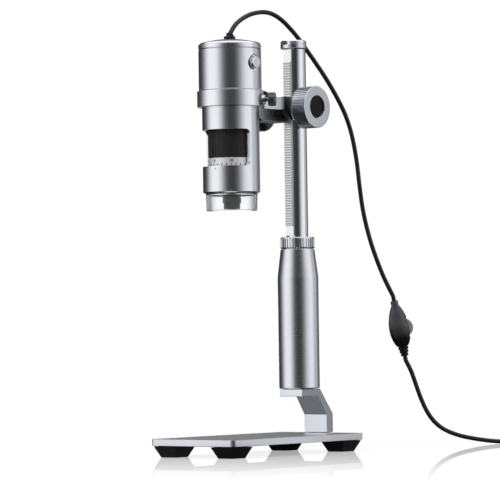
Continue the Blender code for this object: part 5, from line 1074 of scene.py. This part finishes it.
button_grey = metal(
    "button_grey", tone(240, 242, 246), 0.24, grain=0.1, streaks="X", centre=BUTTON_PLACE
)
dull_face(button_grey, BUTTON_FACE - 0.3 * MM, 0.4)
button = turned(
    "button_cap", (0, 0),
    [
        (0.5 * MM, 15.0 * MM), (5.2 * MM, 15.0 * MM), (5.2 * MM, 15.7 * MM),
        (BUTTON_RADIUS, 15.7 * MM), (BUTTON_RADIUS, BUTTON_FACE - 0.4 * MM),
        (BUTTON_RADIUS - 0.12 * MM, BUTTON_FACE - 0.12 * MM),
        (BUTTON_RADIUS - 0.4 * MM, BUTTON_FACE), (2.0 * MM, BUTTON_FACE - 0.08 * MM),
        (0.5 * MM, BUTTON_FACE - 0.1 * MM),
    ],
)
laid(button, BUTTON_PLACE, SIDEWAYS)
fitted(button, button_grey, "snap_button", "button", "snap_button")

# The focus dial and its scale.
# The dial is a ring of black plastic with upright ribs for the finger. Below it turns a silver
# ring with ticks and plain numbers.
DIAL_RADIUS = 13.95 * MM
DIAL_BORE = 9.0 * MM
DIAL_LOW = 179.65 * MM
DIAL_HIGH = 204.2 * MM
DIAL_RIB_COUNT = 60
DIAL_RIB_DEPTH = 0.45 * MM
SCALE_LOW = 163.2 * MM
SCALE_HIGH = 179.35 * MM
TICK_COUNT = 60
TICK_START = 3.5 * DEGREE
NUMBER_START = -5.5 * DEGREE
TICK_PROUD = 0.04 * MM
TICK_HALF = 0.09 * MM
TICK_LOW = 174.5 * MM
TICK_HIGH = 175.3 * MM
LONG_TICK_RISE = 0.75 * MM
LONG_TICK_WIDER = 0.14 * MM
NUMBER_SIZE = 2.4 * MM
NUMBER_Z = 176.7 * MM
INDEX_TURN = 6.3 * DEGREE
SCALE_NUMBERS = (0, 10, 20, 50, 100, 150, 200, 250)

dial_black = soft_black("dial_black", tone(43, 40, 41), 0.42, grain=0.2)
dial = turned(
    "ribbed_dial", SCOPE_AXIS,
    [
        (DIAL_BORE, DIAL_LOW), (DIAL_RADIUS - 0.5 * MM, DIAL_LOW),
        (DIAL_RADIUS, DIAL_LOW + 0.4 * MM), (DIAL_RADIUS, DIAL_HIGH), (DIAL_BORE, DIAL_HIGH),
        (DIAL_BORE, DIAL_LOW),
    ],
    sides=4 * DIAL_RIB_COUNT,
)
knurled(dial, SCOPE_AXIS, DIAL_RADIUS, DIAL_LOW, DIAL_HIGH + 1 * MM, DIAL_RIB_COUNT, DIAL_RIB_DEPTH)
fitted(dial, dial_black, "dial", "dial", "focus_dial")
scale_silver = metal(
    "scale_silver", tone(250, 250, 252), 0.42, grain=0.1, streaks="Z", centre=(*SCOPE_AXIS, 0)
)
scale_silver.node_tree.nodes["Principled BSDF"].inputs["Metallic"].default_value = 0.5
scale = turned(
    "scale_band", SCOPE_AXIS,
    [(DIAL_BORE, SCALE_LOW), (DIAL_RADIUS, SCALE_LOW), (DIAL_RADIUS, SCALE_HIGH - 0.15 * MM),
     (DIAL_RADIUS - 0.15 * MM, SCALE_HIGH), (DIAL_BORE, SCALE_HIGH), (DIAL_BORE, SCALE_LOW)],
    sides=128,
)
fitted(scale, scale_silver, "dial", "scale", "scale_ring")
ink = soft_black("scale_ink", tone(26, 27, 30), 0.5, grain=0.1)
tick = cube(
    "tick", (-TICK_HALF, -DIAL_RADIUS - TICK_PROUD, TICK_LOW),
    (TICK_HALF, -DIAL_RADIUS + 0.1 * MM, TICK_HIGH),
)
marks = []
for number in range(TICK_COUNT):
    mark = tick.copy()
    mark.data = tick.data.copy()
    bpy.context.collection.objects.link(mark)
    if number % 2 == 0:
        slide(mark, "verts", lambda point: point.co.z > 175 * MM, (0, 0, LONG_TICK_RISE))
        slide(mark, "verts", lambda point: point.co.x > 0, (LONG_TICK_WIDER, 0, 0))
        slide(mark, "verts", lambda point: point.co.x < 0, (-LONG_TICK_WIDER, 0, 0))
    angle = 2 * math.pi * number / TICK_COUNT + TICK_START
    laid(mark, (*SCOPE_AXIS, 0), (0, 0, angle))
    marks.append(mark)
bpy.data.objects.remove(tick, do_unlink=True)
for place, number in enumerate(SCALE_NUMBERS):
    angle = 2 * math.pi * place / len(SCALE_NUMBERS) + NUMBER_START
    bpy.ops.object.text_add(location=(0, 0, 0))
    figure = bpy.context.active_object
    figure.data.body = str(number)
    figure.data.size = NUMBER_SIZE
    figure.data.offset = 0.05 * MM
    figure.data.align_x = "CENTER"
    figure.data.extrude = 0.03 * MM
    figure.data.resolution_u = 3
    alone(figure)
    bpy.ops.object.convert(target="MESH")
    figure.rotation_euler = (math.pi / 2, 0, 0)
    figure.location = (0, -DIAL_RADIUS, NUMBER_Z)
    settle(figure)
    laid(figure, (*SCOPE_AXIS, 0), (0, 0, angle))
    marks.append(figure)
bpy.ops.object.select_all(action="DESELECT")
for mark in marks:
    mark.select_set(True)
bpy.context.view_layer.objects.active = marks[0]
bpy.ops.object.join()
scale_marks = bpy.context.active_object
scale_marks.name = "scale_marks"
settle(scale_marks)
fitted(scale_marks, ink, "dial", "dial")
index_ink = soft_black("index_ink", tone(150, 153, 158), 0.5, grain=0.1)
bpy.ops.mesh.primitive_circle_add(vertices=3, radius=0.6 * MM, fill_type="NGON")
index_mark = bpy.context.active_object
index_mark.name = "index_mark"
pick(index_mark, "faces", lambda face: True)
bpy.ops.mesh.extrude_region_move(TRANSFORM_OT_translate={"value": (0, 0, 0.12 * MM)})
laid(index_mark, (0, -BODY_RADIUS + 0.08 * MM, 172.6 * MM), (math.pi / 2, 0, 0))
laid(index_mark, (*SCOPE_AXIS, 0), (0, 0, INDEX_TURN))
fitted(index_mark, index_ink, "scope", "housing")

# The lens group.
# A carriage of black plastic rides in the dial's thread and holds a black lens barrel with a
# glass lens in its nose.
CLEAR_EDGE_FROM = 0.16
CLEAR_EDGE_TO = 0.65

barrel_black = soft_black("barrel_black", tone(9, 9, 10), 0.22, grain=0.05)
carriage = turned(
    "lens_slider", SCOPE_AXIS,
    in_mm(
        (4.7, 166.5), (8.65, 166.5), (8.65, 186.5), (3.4, 186.5), (3.4, 171.8), (4.7, 171.8),
        (4.7, 166.5),
    ),
)
fitted(carriage, barrel_black, "lens", "lens_barrel", "lens_carriage")
barrel = turned(
    "stepped_barrel", SCOPE_AXIS,
    in_mm(
        (3.4, 149.0), (4.8, 149.0), (5.0, 149.2), (5.0, 152.4), (5.4, 152.5), (5.6, 152.7),
        (5.6, 156.0), (5.35, 156.15), (5.35, 156.6), (5.6, 156.75), (5.6, 166.2), (4.4, 166.2),
        (4.4, 171.5), (2.9, 171.5), (2.9, 152.3), (3.4, 152.3), (3.4, 149.0),
    ),
)
fitted(barrel, barrel_black, "lens", "lens_barrel", "lens_barrel")


def clear(name, colour, roughness, index, edge=1.0):
    """Clear plastic or glass. Where it is seen edge on, this share of the light gets through."""
    made, tree, shader = new_finish(name, colour)
    shader["Transmission Weight"].default_value = 1.0
    shader["IOR"].default_value = index
    if edge < 1:
        flatness = linked(tree, "LayerWeight", Blend=0.5).outputs["Facing"]
        share = eased(tree, flatness, CLEAR_EDGE_FROM, CLEAR_EDGE_TO, 1.0, edge)
        dimmed = linked(tree, "VectorMath", colour, operation="SCALE", Scale=share)
        tree.links.new(dimmed.outputs[0], shader["Base Color"])
    place = linked(tree, "TexCoord").outputs["Object"]
    haze = linked(tree, "TexNoise", Vector=place, Scale=240.0, Detail=3.0)
    spread = linked(
        tree, "MapRange", haze.outputs[0], To_Min=roughness * 0.6, To_Max=roughness * 1.6
    )
    tree.links.new(spread.outputs[0], shader["Roughness"])
    return made


glass = clear("coated_glass", (0.93, 0.96, 1.0), 0.01, 1.52)
lens = turned(
    "lens_disc", SCOPE_AXIS,
    in_mm((0.2, 149.5), (1.2, 149.57), (2.2, 149.75), (3.1, 150.0), (3.1, 152.0), (0.2, 152.0)),
)
fitted(lens, glass, "lens", "lens_glass", "front_lens")

# The clear nose and its lights.
# A moulded cap of clear plastic is pushed into the body. Above it a white board carries eight
# small lamps that shine down round the lens.
BOARD_LAMP_COUNT = 8
BOARD_LAMP_CIRCLE = 10 * MM

clear_plastic = clear("clear_plastic", (0.97, 0.98, 0.99), 0.03, 1.47, edge=0.22)
nose = turned(
    "clear_cap", SCOPE_AXIS,
    in_mm(
        (14.1, 147.9), (14.3, 147.7), (15.1, 147.7), (15.3, 147.9), (15.6, 157.9), (14.4, 157.9),
        (14.4, 162.9), (13.4, 162.9), (13.4, 158.7), (12.4, 158.7), (12.4, 157.9), (14.1, 157.1),
        (14.1, 147.9),
    ),
    sides=128,
)
fitted(nose, clear_plastic, "scope", "clear_nose", "nose_cap")
board_white = soft_black("board_white", tone(236, 236, 232), 0.45, grain=0.1)
light_board = turned(
    "light_ring", SCOPE_AXIS,
    in_mm((6.6, 159.0), (13.1, 159.0), (13.1, 160.2), (6.6, 160.2), (6.6, 159.0)),
)
for number in range(BOARD_LAMP_COUNT):
    angle = 2 * math.pi * (number + 0.5) / BOARD_LAMP_COUNT
    spot = (
        BOARD_LAMP_CIRCLE * math.cos(angle), SCOPE_AXIS[1] + BOARD_LAMP_CIRCLE * math.sin(angle)
    )
    dome = turned(
        "lamp_dome", spot,
        in_mm((0.15, 157.5), (0.7, 157.6), (1.2, 157.9), (1.5, 158.4), (1.5, 159.6)), 24,
    )
    cut(light_board, dome, "UNION")
fitted(light_board, board_white, "scope", "light_board", "light_board")
board_green = soft_black("board_green", tone(24, 92, 58), 0.4, grain=0.1)
for name in ("sensor_board", "main_board"):
    dressed(name, board_green)
for name in ("image_sensor", "snap_switch"):
    dressed(name, barrel_black)

# The lead.
# A thin round cable in a black plastic sheath leaves the lid through a rubber grommet, arches
# over the post, hangs behind it to the dimmer, and is stored in a coil that ends in the plug.
CORD_RADIUS = 1.4 * MM
CORD_STRAIGHT = 3.2 * MM
CORD_SEAT = 0.3 * MM
CORD_STEP = 4.0 * MM
CURVE_PARTS = 12
CORD_FLOOR_Z = 1.5
DIMMER_TOP = Vector((8.7, 127.4, 92.6)) * MM
DIMMER_BOTTOM = Vector((10.5, 135.6, 57.6)) * MM
ARCH_ROUTE = [
    (0, -21.53, 254.81), (0, -20.98, 255.88), (-0.1, -19.2, 257.9), (-0.3, -16.2, 260.8),
    (-0.9, -11.3, 263.6), (-2.1, -4.8, 266.3), (-5.0, 5.8, 269.2), (-8.0, 20.3, 271.4),
    (-9.9, 32.0, 270.9), (-11.0, 42.8, 267.6), (-11.3, 52.4, 262.1), (-11.1, 58.0, 257.9),
    (-11.0, 61.8, 254.6),
]
DROP_ROUTE = [
    (-11.0, 61.8, 254.6), (-10.8, 66.2, 250.7), (-10.0, 73.6, 243.4), (-8.3, 82.9, 232.8),
    (-6.1, 91.5, 220.4), (-4.4, 97.3, 209.6), (-3.4, 101.8, 197.6), (-2.8, 105.3, 182.3),
    (-2.7, 107.8, 166.8), (-2.4, 110.3, 152.3), (-1.2, 113.1, 139.0), (0.9, 116.5, 125.5),
    (4.2, 121.0, 110.6), (6.9, 124.2, 101.4),
]
LOWER_ROUTE = [
    (12.2, 139.4, 48.3), (13.4, 142.1, 40.8), (14.9, 145.5, 31.2), (17.0, 149.4, 21.9),
    (19.9, 153.9, 14.7), (23.8, 159.2, 9.7), (29.0, 165.3, 6.3), (34.5, 171.3, 4.2),
    (42.0, 178.5, 2.4), (48.8, 184.5, CORD_FLOOR_Z), (57.8, 192.4, CORD_FLOOR_Z),
    (66.0, 199.6, CORD_FLOOR_Z),
]
COIL_ENTRY = Vector((76.4, 208.7, CORD_FLOOR_Z)) * MM
COIL_HEADING = 41 * DEGREE
COIL_OUTER_RADIUS = 25.5 * MM
COIL_PITCH = 3.6 * MM
COIL_LAYER = 3.5 * MM
COIL_TURNS_IN = 5.0
COIL_TURNS_OUT = 4.845
COIL_CLIMB_TURNS = 0.5
COIL_POINTS_A_TURN = 24
COIL_TAIL = 11 * MM
CORD_BLACK = tone(26, 26, 28)


def smooth_route(points, step):
    """Evenly spaced points on a smooth curve, with a straight piece at each end."""
    fine = []
    for before, start, end, after in zip(points, points[1:], points[2:], points[3:]):
        for part in range(CURVE_PARTS):
            t = part / CURVE_PARTS
            square = 2 * before - 5 * start + 4 * end - after
            cube_term = 3 * start - before - 3 * end + after
            fine.append(0.5 * (2 * start + (end - before) * t + square * t**2 + cube_term * t**3))
    fine.append(points[-2])
    lengths = [0.0]
    for start, end in zip(fine, fine[1:]):
        lengths.append(lengths[-1] + (end - start).length)
    count = round(lengths[-1] / step)
    even = []
    place = 0
    for number in range(count + 1):
        wanted = lengths[-1] * number / count
        while place < len(fine) - 2 and lengths[place + 1] < wanted:
            place += 1
        share = (wanted - lengths[place]) / (lengths[place + 1] - lengths[place])
        even.append(fine[place].lerp(fine[place + 1], share))
    return [points[0], *even, points[-1]]


def coil_route():
    """Winds in on the table, climbs onto itself in half a turn, and winds out on top."""
    heading = Vector((math.cos(COIL_HEADING), math.sin(COIL_HEADING), 0))
    left = Vector((-heading.y, heading.x, 0))
    centre = COIL_ENTRY + left * COIL_OUTER_RADIUS
    inner = COIL_OUTER_RADIUS - COIL_PITCH * COIL_TURNS_IN
    total = COIL_TURNS_IN + COIL_CLIMB_TURNS + COIL_TURNS_OUT
    count = round(total * COIL_POINTS_A_TURN)
    points = [COIL_ENTRY - heading * CORD_STRAIGHT]
    for number in range(count + 1):
        turns = total * number / count
        climbed = min(max(turns - COIL_TURNS_IN, 0.0), COIL_CLIMB_TURNS) / COIL_CLIMB_TURNS
        out_turns = max(turns - COIL_TURNS_IN - COIL_CLIMB_TURNS, 0.0)
        radius = inner + COIL_PITCH * (max(COIL_TURNS_IN - turns, 0.0) + out_turns)
        angle = COIL_HEADING - math.pi / 2 + 2 * math.pi * turns
        reach = Vector((radius * math.cos(angle), radius * math.sin(angle), COIL_LAYER * climbed))
        points.append(centre + reach)
    last = (points[-1] - points[-2]).normalized()
    return points + [points[-1] + last * COIL_TAIL]


def cable(name, points, node):
    """A round cable along the points, closed at its ends, in place of its solid."""
    line = bpy.data.curves.new(name, "CURVE")
    line.dimensions = "3D"
    line.bevel_depth = CORD_RADIUS
    line.bevel_resolution = 5
    line.use_fill_caps = True
    spline = line.splines.new("POLY")
    spline.points.add(len(points) - 1)
    for knot, point in zip(spline.points, points):
        knot.co = (*point, 1)
    spline.use_smooth = True
    piece = bpy.data.objects.new(name, line)
    bpy.context.collection.objects.link(piece)
    piece.data.materials.append(cord_sheath)
    alone(piece)
    bpy.ops.object.convert(target="MESH")
    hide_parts(node)
    return piece


cord_sheath = soft_black("cord_sheath", CORD_BLACK, 0.36, grain=0.1)
up = (DIMMER_TOP - DIMMER_BOTTOM).normalized()
arch_line = smooth_route([Vector(point) * MM for point in ARCH_ROUTE], CORD_STEP)
drop_knots = [Vector(point) * MM for point in DROP_ROUTE]
drop_knots += [DIMMER_TOP + up * CORD_STRAIGHT, DIMMER_TOP + up * CORD_SEAT]
drop_knots[0] = drop_knots[0] + (drop_knots[1] - drop_knots[0]).normalized() * CORD_SEAT
drop_line = smooth_route(drop_knots, CORD_STEP)
coil_line = coil_route()
lower_end = coil_line[0] + (coil_line[0] - coil_line[1]).normalized() * CORD_SEAT
lower_knots = [DIMMER_BOTTOM - up * CORD_SEAT, DIMMER_BOTTOM - up * CORD_STRAIGHT]
lower_knots += [Vector(point) * MM for point in LOWER_ROUTE] + [lower_end]
lower_line = smooth_route(lower_knots, CORD_STEP)
arch = cable("lead_arch", arch_line, "cord_arch")
drop = cable("lead_drop", drop_line, "cord_drop")
lower = cable("lead_lower", lower_line, "cord_lower")
coil = cable("lead_coil", coil_line, "cord_coil")
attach(coil, "stand")

# The grommet where the lead leaves the lid.
# Black rubber, pushed through the lid, with a wide flange and a soft rib that lean with the lead.
GROMMET_BASE = (*SCOPE_AXIS, 253.3 * MM)
GROMMET_LEAN = 27 * DEGREE

rubber_black = soft_black("rubber_black", tone(24, 24, 25), 0.6)
grommet = turned(
    "rubber_grommet", SCOPE_AXIS,
    in_mm(
        (0.3, 243.4), (3.6, 243.4), (3.6, 245.0), (2.55, 245.0), (2.55, 251.7), (3.2, 251.7),
        (3.45, 251.85), (3.55, 252.15), (3.55, 252.75), (3.4, 253.1), (3.0, 253.3), (0.3, 253.3),
    ),
    64,
)
rib = turned(
    "grommet_rib", (0, 0),
    in_mm(
        (0.3, -1.1), (2.0, -1.1), (2.0, 0.3), (2.25, 0.4), (2.4, 0.65), (2.4, 1.1), (2.25, 1.3),
        (2.0, 1.4), (0.3, 1.4),
    ),
    64,
)
cut(grommet, laid(rib, GROMMET_BASE, (-GROMMET_LEAN, 0, 0)), "UNION")
fitted(grommet, rubber_black, "scope", "grommet", "cord_grommet")

# The light dimmer on the lead.
# Two glossy black shells, like a flat lens with a collar above and ribs below, are snapped
# together round a small grey thumb wheel.
DIMMER_SWELL = 3.6 * MM
DIMMER_SWELL_STEPS = 24
DIMMER_RIB_COUNT = 3
DIMMER_END_RADIUS = 2.4 * MM
DIMMER_RIB_RADIUS = 3.6 * MM
DIMMER_FLAT_SHARE = 0.76
DIMMER_SEAM = 0.12 * MM
DIMMER_COLLAR = 3.0 * MM
DIMMER_RIBBED = 6.5 * MM
DIMMER_FACE_TURN = 39.5 * DEGREE
WHEEL_RADIUS = 6.0 * MM
WHEEL_HALF = 1.5 * MM
WHEEL_OFFSET = 2.8 * MM
WHEEL_NOTCH_COUNT = 28

side = Vector((math.cos(DIMMER_FACE_TURN), math.sin(DIMMER_FACE_TURN), 0))
side = (side - side.dot(up) * up).normalized()
dimmer_turn = Matrix((side, up.cross(side), up)).transposed().to_euler()
dimmer_middle = (DIMMER_TOP + DIMMER_BOTTOM) / 2
half = (DIMMER_TOP - DIMMER_BOTTOM).length / 2
dimmer_steps = [(2.1 * MM, -half), (DIMMER_END_RADIUS, -half + 0.2 * MM)]
widening = DIMMER_RIB_RADIUS - DIMMER_END_RADIUS
for number in range(DIMMER_RIB_COUNT):
    base = -half + number * DIMMER_RIBBED / DIMMER_RIB_COUNT
    low = DIMMER_END_RADIUS + widening * (number + 0.4) / DIMMER_RIB_COUNT
    high = DIMMER_END_RADIUS + widening * (number + 1) / DIMMER_RIB_COUNT
    dimmer_steps += [
        (low, base + 1.2 * MM), (low - 0.4 * MM, base + 1.35 * MM),
        (low - 0.4 * MM, base + 2.0 * MM), (high, base + 2.15 * MM),
    ]
bulge_low = -half + DIMMER_RIBBED + 0.15 * MM
bulge_high = half - DIMMER_COLLAR
for number in range(1, DIMMER_SWELL_STEPS):
    share = number / DIMMER_SWELL_STEPS
    swell = math.sin(math.pi * share ** 0.9) ** 0.8
    neck = DIMMER_RIB_RADIUS - widening * share
    height = bulge_low + (bulge_high - bulge_low) * share
    dimmer_steps.append((neck + DIMMER_SWELL * swell, height))
dimmer_steps += [
    (DIMMER_END_RADIUS, bulge_high), (DIMMER_END_RADIUS, half - 0.2 * MM), (2.1 * MM, half),
]
# Painted highlight: the shells are grey above and fade to black towards the bottom, for the soft
# boxes' sheen on their face.
dimmer_gloss = soft_black("dimmer_gloss", tone(122, 123, 128), 0.22, grain=0.06, gloss=0.5)
shaded(dimmer_gloss, ("Z", dimmer_middle.z + 12 * MM, 9.4 * MM, 8.5 * MM, 1.0, 0.1, "MINIMUM"))
reach = WHEEL_RADIUS + 0.35 * MM
slot_half = WHEEL_HALF + 0.35 * MM
for name, node, face in (
    ("dimmer_shell_rear", "dimmer_rear_shell", 1),
    ("dimmer_shell_front", "dimmer_front_shell", -1),
):
    shell = turned(name, (0, 0), dimmer_steps, 64)
    pick(shell, "verts", lambda point: True)
    bpy.ops.transform.resize(value=(1, DIMMER_FLAT_SHARE, 1), center_override=(0, 0, 0))
    bpy.ops.mesh.bisect(
        plane_co=(0, face * DIMMER_SEAM, 0), plane_no=(0, face, 0), use_fill=True,
        clear_inner=True, threshold=0.00001,
    )
    alone(shell)
    slot = cube(
        "wheel_slot",
        (WHEEL_OFFSET - 7 * MM, -slot_half, -reach), (WHEEL_OFFSET + reach, slot_half, reach),
    )
    cut(shell, slot)
    broken_edges(shell, 0.15 * MM, angle=50)
    laid(shell, dimmer_middle, dimmer_turn)
    fitted(shell, dimmer_gloss, "post", "dimmer", node)
wheel_grey = soft_black("wheel_grey", tone(158, 160, 165), 0.45, grain=0.2)
wheel = turned(
    "thumb_wheel", (0, 0),
    [
        (0.9 * MM, -2.7 * MM), (0.9 * MM, -WHEEL_HALF), (WHEEL_RADIUS - 0.3 * MM, -WHEEL_HALF),
        (WHEEL_RADIUS, 0.3 * MM - WHEEL_HALF), (WHEEL_RADIUS, WHEEL_HALF - 0.3 * MM),
        (WHEEL_RADIUS - 0.3 * MM, WHEEL_HALF), (0.9 * MM, WHEEL_HALF), (0.9 * MM, 2.7 * MM),
    ],
    sides=4 * WHEEL_NOTCH_COUNT,
)
knurled(wheel, (0, 0), WHEEL_RADIUS, -WHEEL_HALF, WHEEL_HALF, WHEEL_NOTCH_COUNT, 0.25 * MM)
laid(wheel, (WHEEL_OFFSET, 0, 0), (-math.pi / 2, 0, 0))
laid(wheel, dimmer_middle, dimmer_turn)
fitted(wheel, wheel_grey, "dimmer_wheel", "dimmer_wheel", "dimmer_wheel")

# The plug at the end of the coil.
# A moulded black grip with a tapered relief on the lead, and a folded steel shell in front.
GRIP_START = 12.3 * MM
GRIP_END = 38.3 * MM
SHELL_START = 38.6 * MM
SHELL_END = 57.2 * MM
GRIP_HALF_WIDTH = 7.8 * MM
GRIP_HALF_HEIGHT = 4.7 * MM
SHELL_HALF_WIDTH = 6.0 * MM
SHELL_HALF_HEIGHT = 2.25 * MM
SHELL_WINDOW_ACROSS = 2.9
SHELL_WINDOW_HALF = 1.1

way = coil_line[-1] - coil_line[-2]
plug_turn = (0, 0, math.atan2(way.y, way.x))
plug_black = soft_black("plug_black", tone(26, 26, 28), 0.42, grain=0.3)
grip = cube(
    "moulded_grip", (GRIP_START, -GRIP_HALF_WIDTH, -GRIP_HALF_HEIGHT),
    (GRIP_END, GRIP_HALF_WIDTH, GRIP_HALF_HEIGHT),
)
pick(grip, "faces", lambda face: face.normal.x < -0.9)
bpy.ops.transform.resize(value=(1, 0.86, 0.8), center_override=(GRIP_START, 0, 0))
broken_edges(grip, 1.2 * MM, segments=5)
relief = turned(
    "plug_relief", (0, 0),
    in_mm((1.65, 0.3), (1.8, 0.6), (3.2, 13.7)), 48,
)
cut(grip, laid(relief, (0, 0, 0), SIDEWAYS), "UNION")
tongue = cube("plug_tongue", (37 * MM, -5.2 * MM, -1.45 * MM), (56.2 * MM, 5.2 * MM, 0.35 * MM))
cut(grip, tongue, "UNION")
laid(grip, coil_line[-1], plug_turn)
fitted(grip, plug_black, "stand", "dimmer", "plug_grip")
shell = cube(
    "plug_front", (SHELL_START, -SHELL_HALF_WIDTH, -SHELL_HALF_HEIGHT),
    (SHELL_END, SHELL_HALF_WIDTH, SHELL_HALF_HEIGHT),
)
cut(shell, cube("plug_mouth", (30 * MM, -5.6 * MM, -1.85 * MM), (60 * MM, 5.6 * MM, 1.85 * MM)))
for across in (-1, 1):
    middle = across * SHELL_WINDOW_ACROSS
    cut(shell, cube(
        "shell_window", (50.5 * MM, (middle - SHELL_WINDOW_HALF) * MM, 1 * MM),
        (52.7 * MM, (middle + SHELL_WINDOW_HALF) * MM, 3 * MM),
    ))
laid(shell, coil_line[-1], plug_turn)
fitted(shell, collar_steel, "stand", "plug_shell", "plug_shell")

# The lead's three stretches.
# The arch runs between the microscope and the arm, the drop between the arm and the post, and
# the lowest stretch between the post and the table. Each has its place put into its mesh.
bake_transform(arch)
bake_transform(drop)
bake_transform(lower)
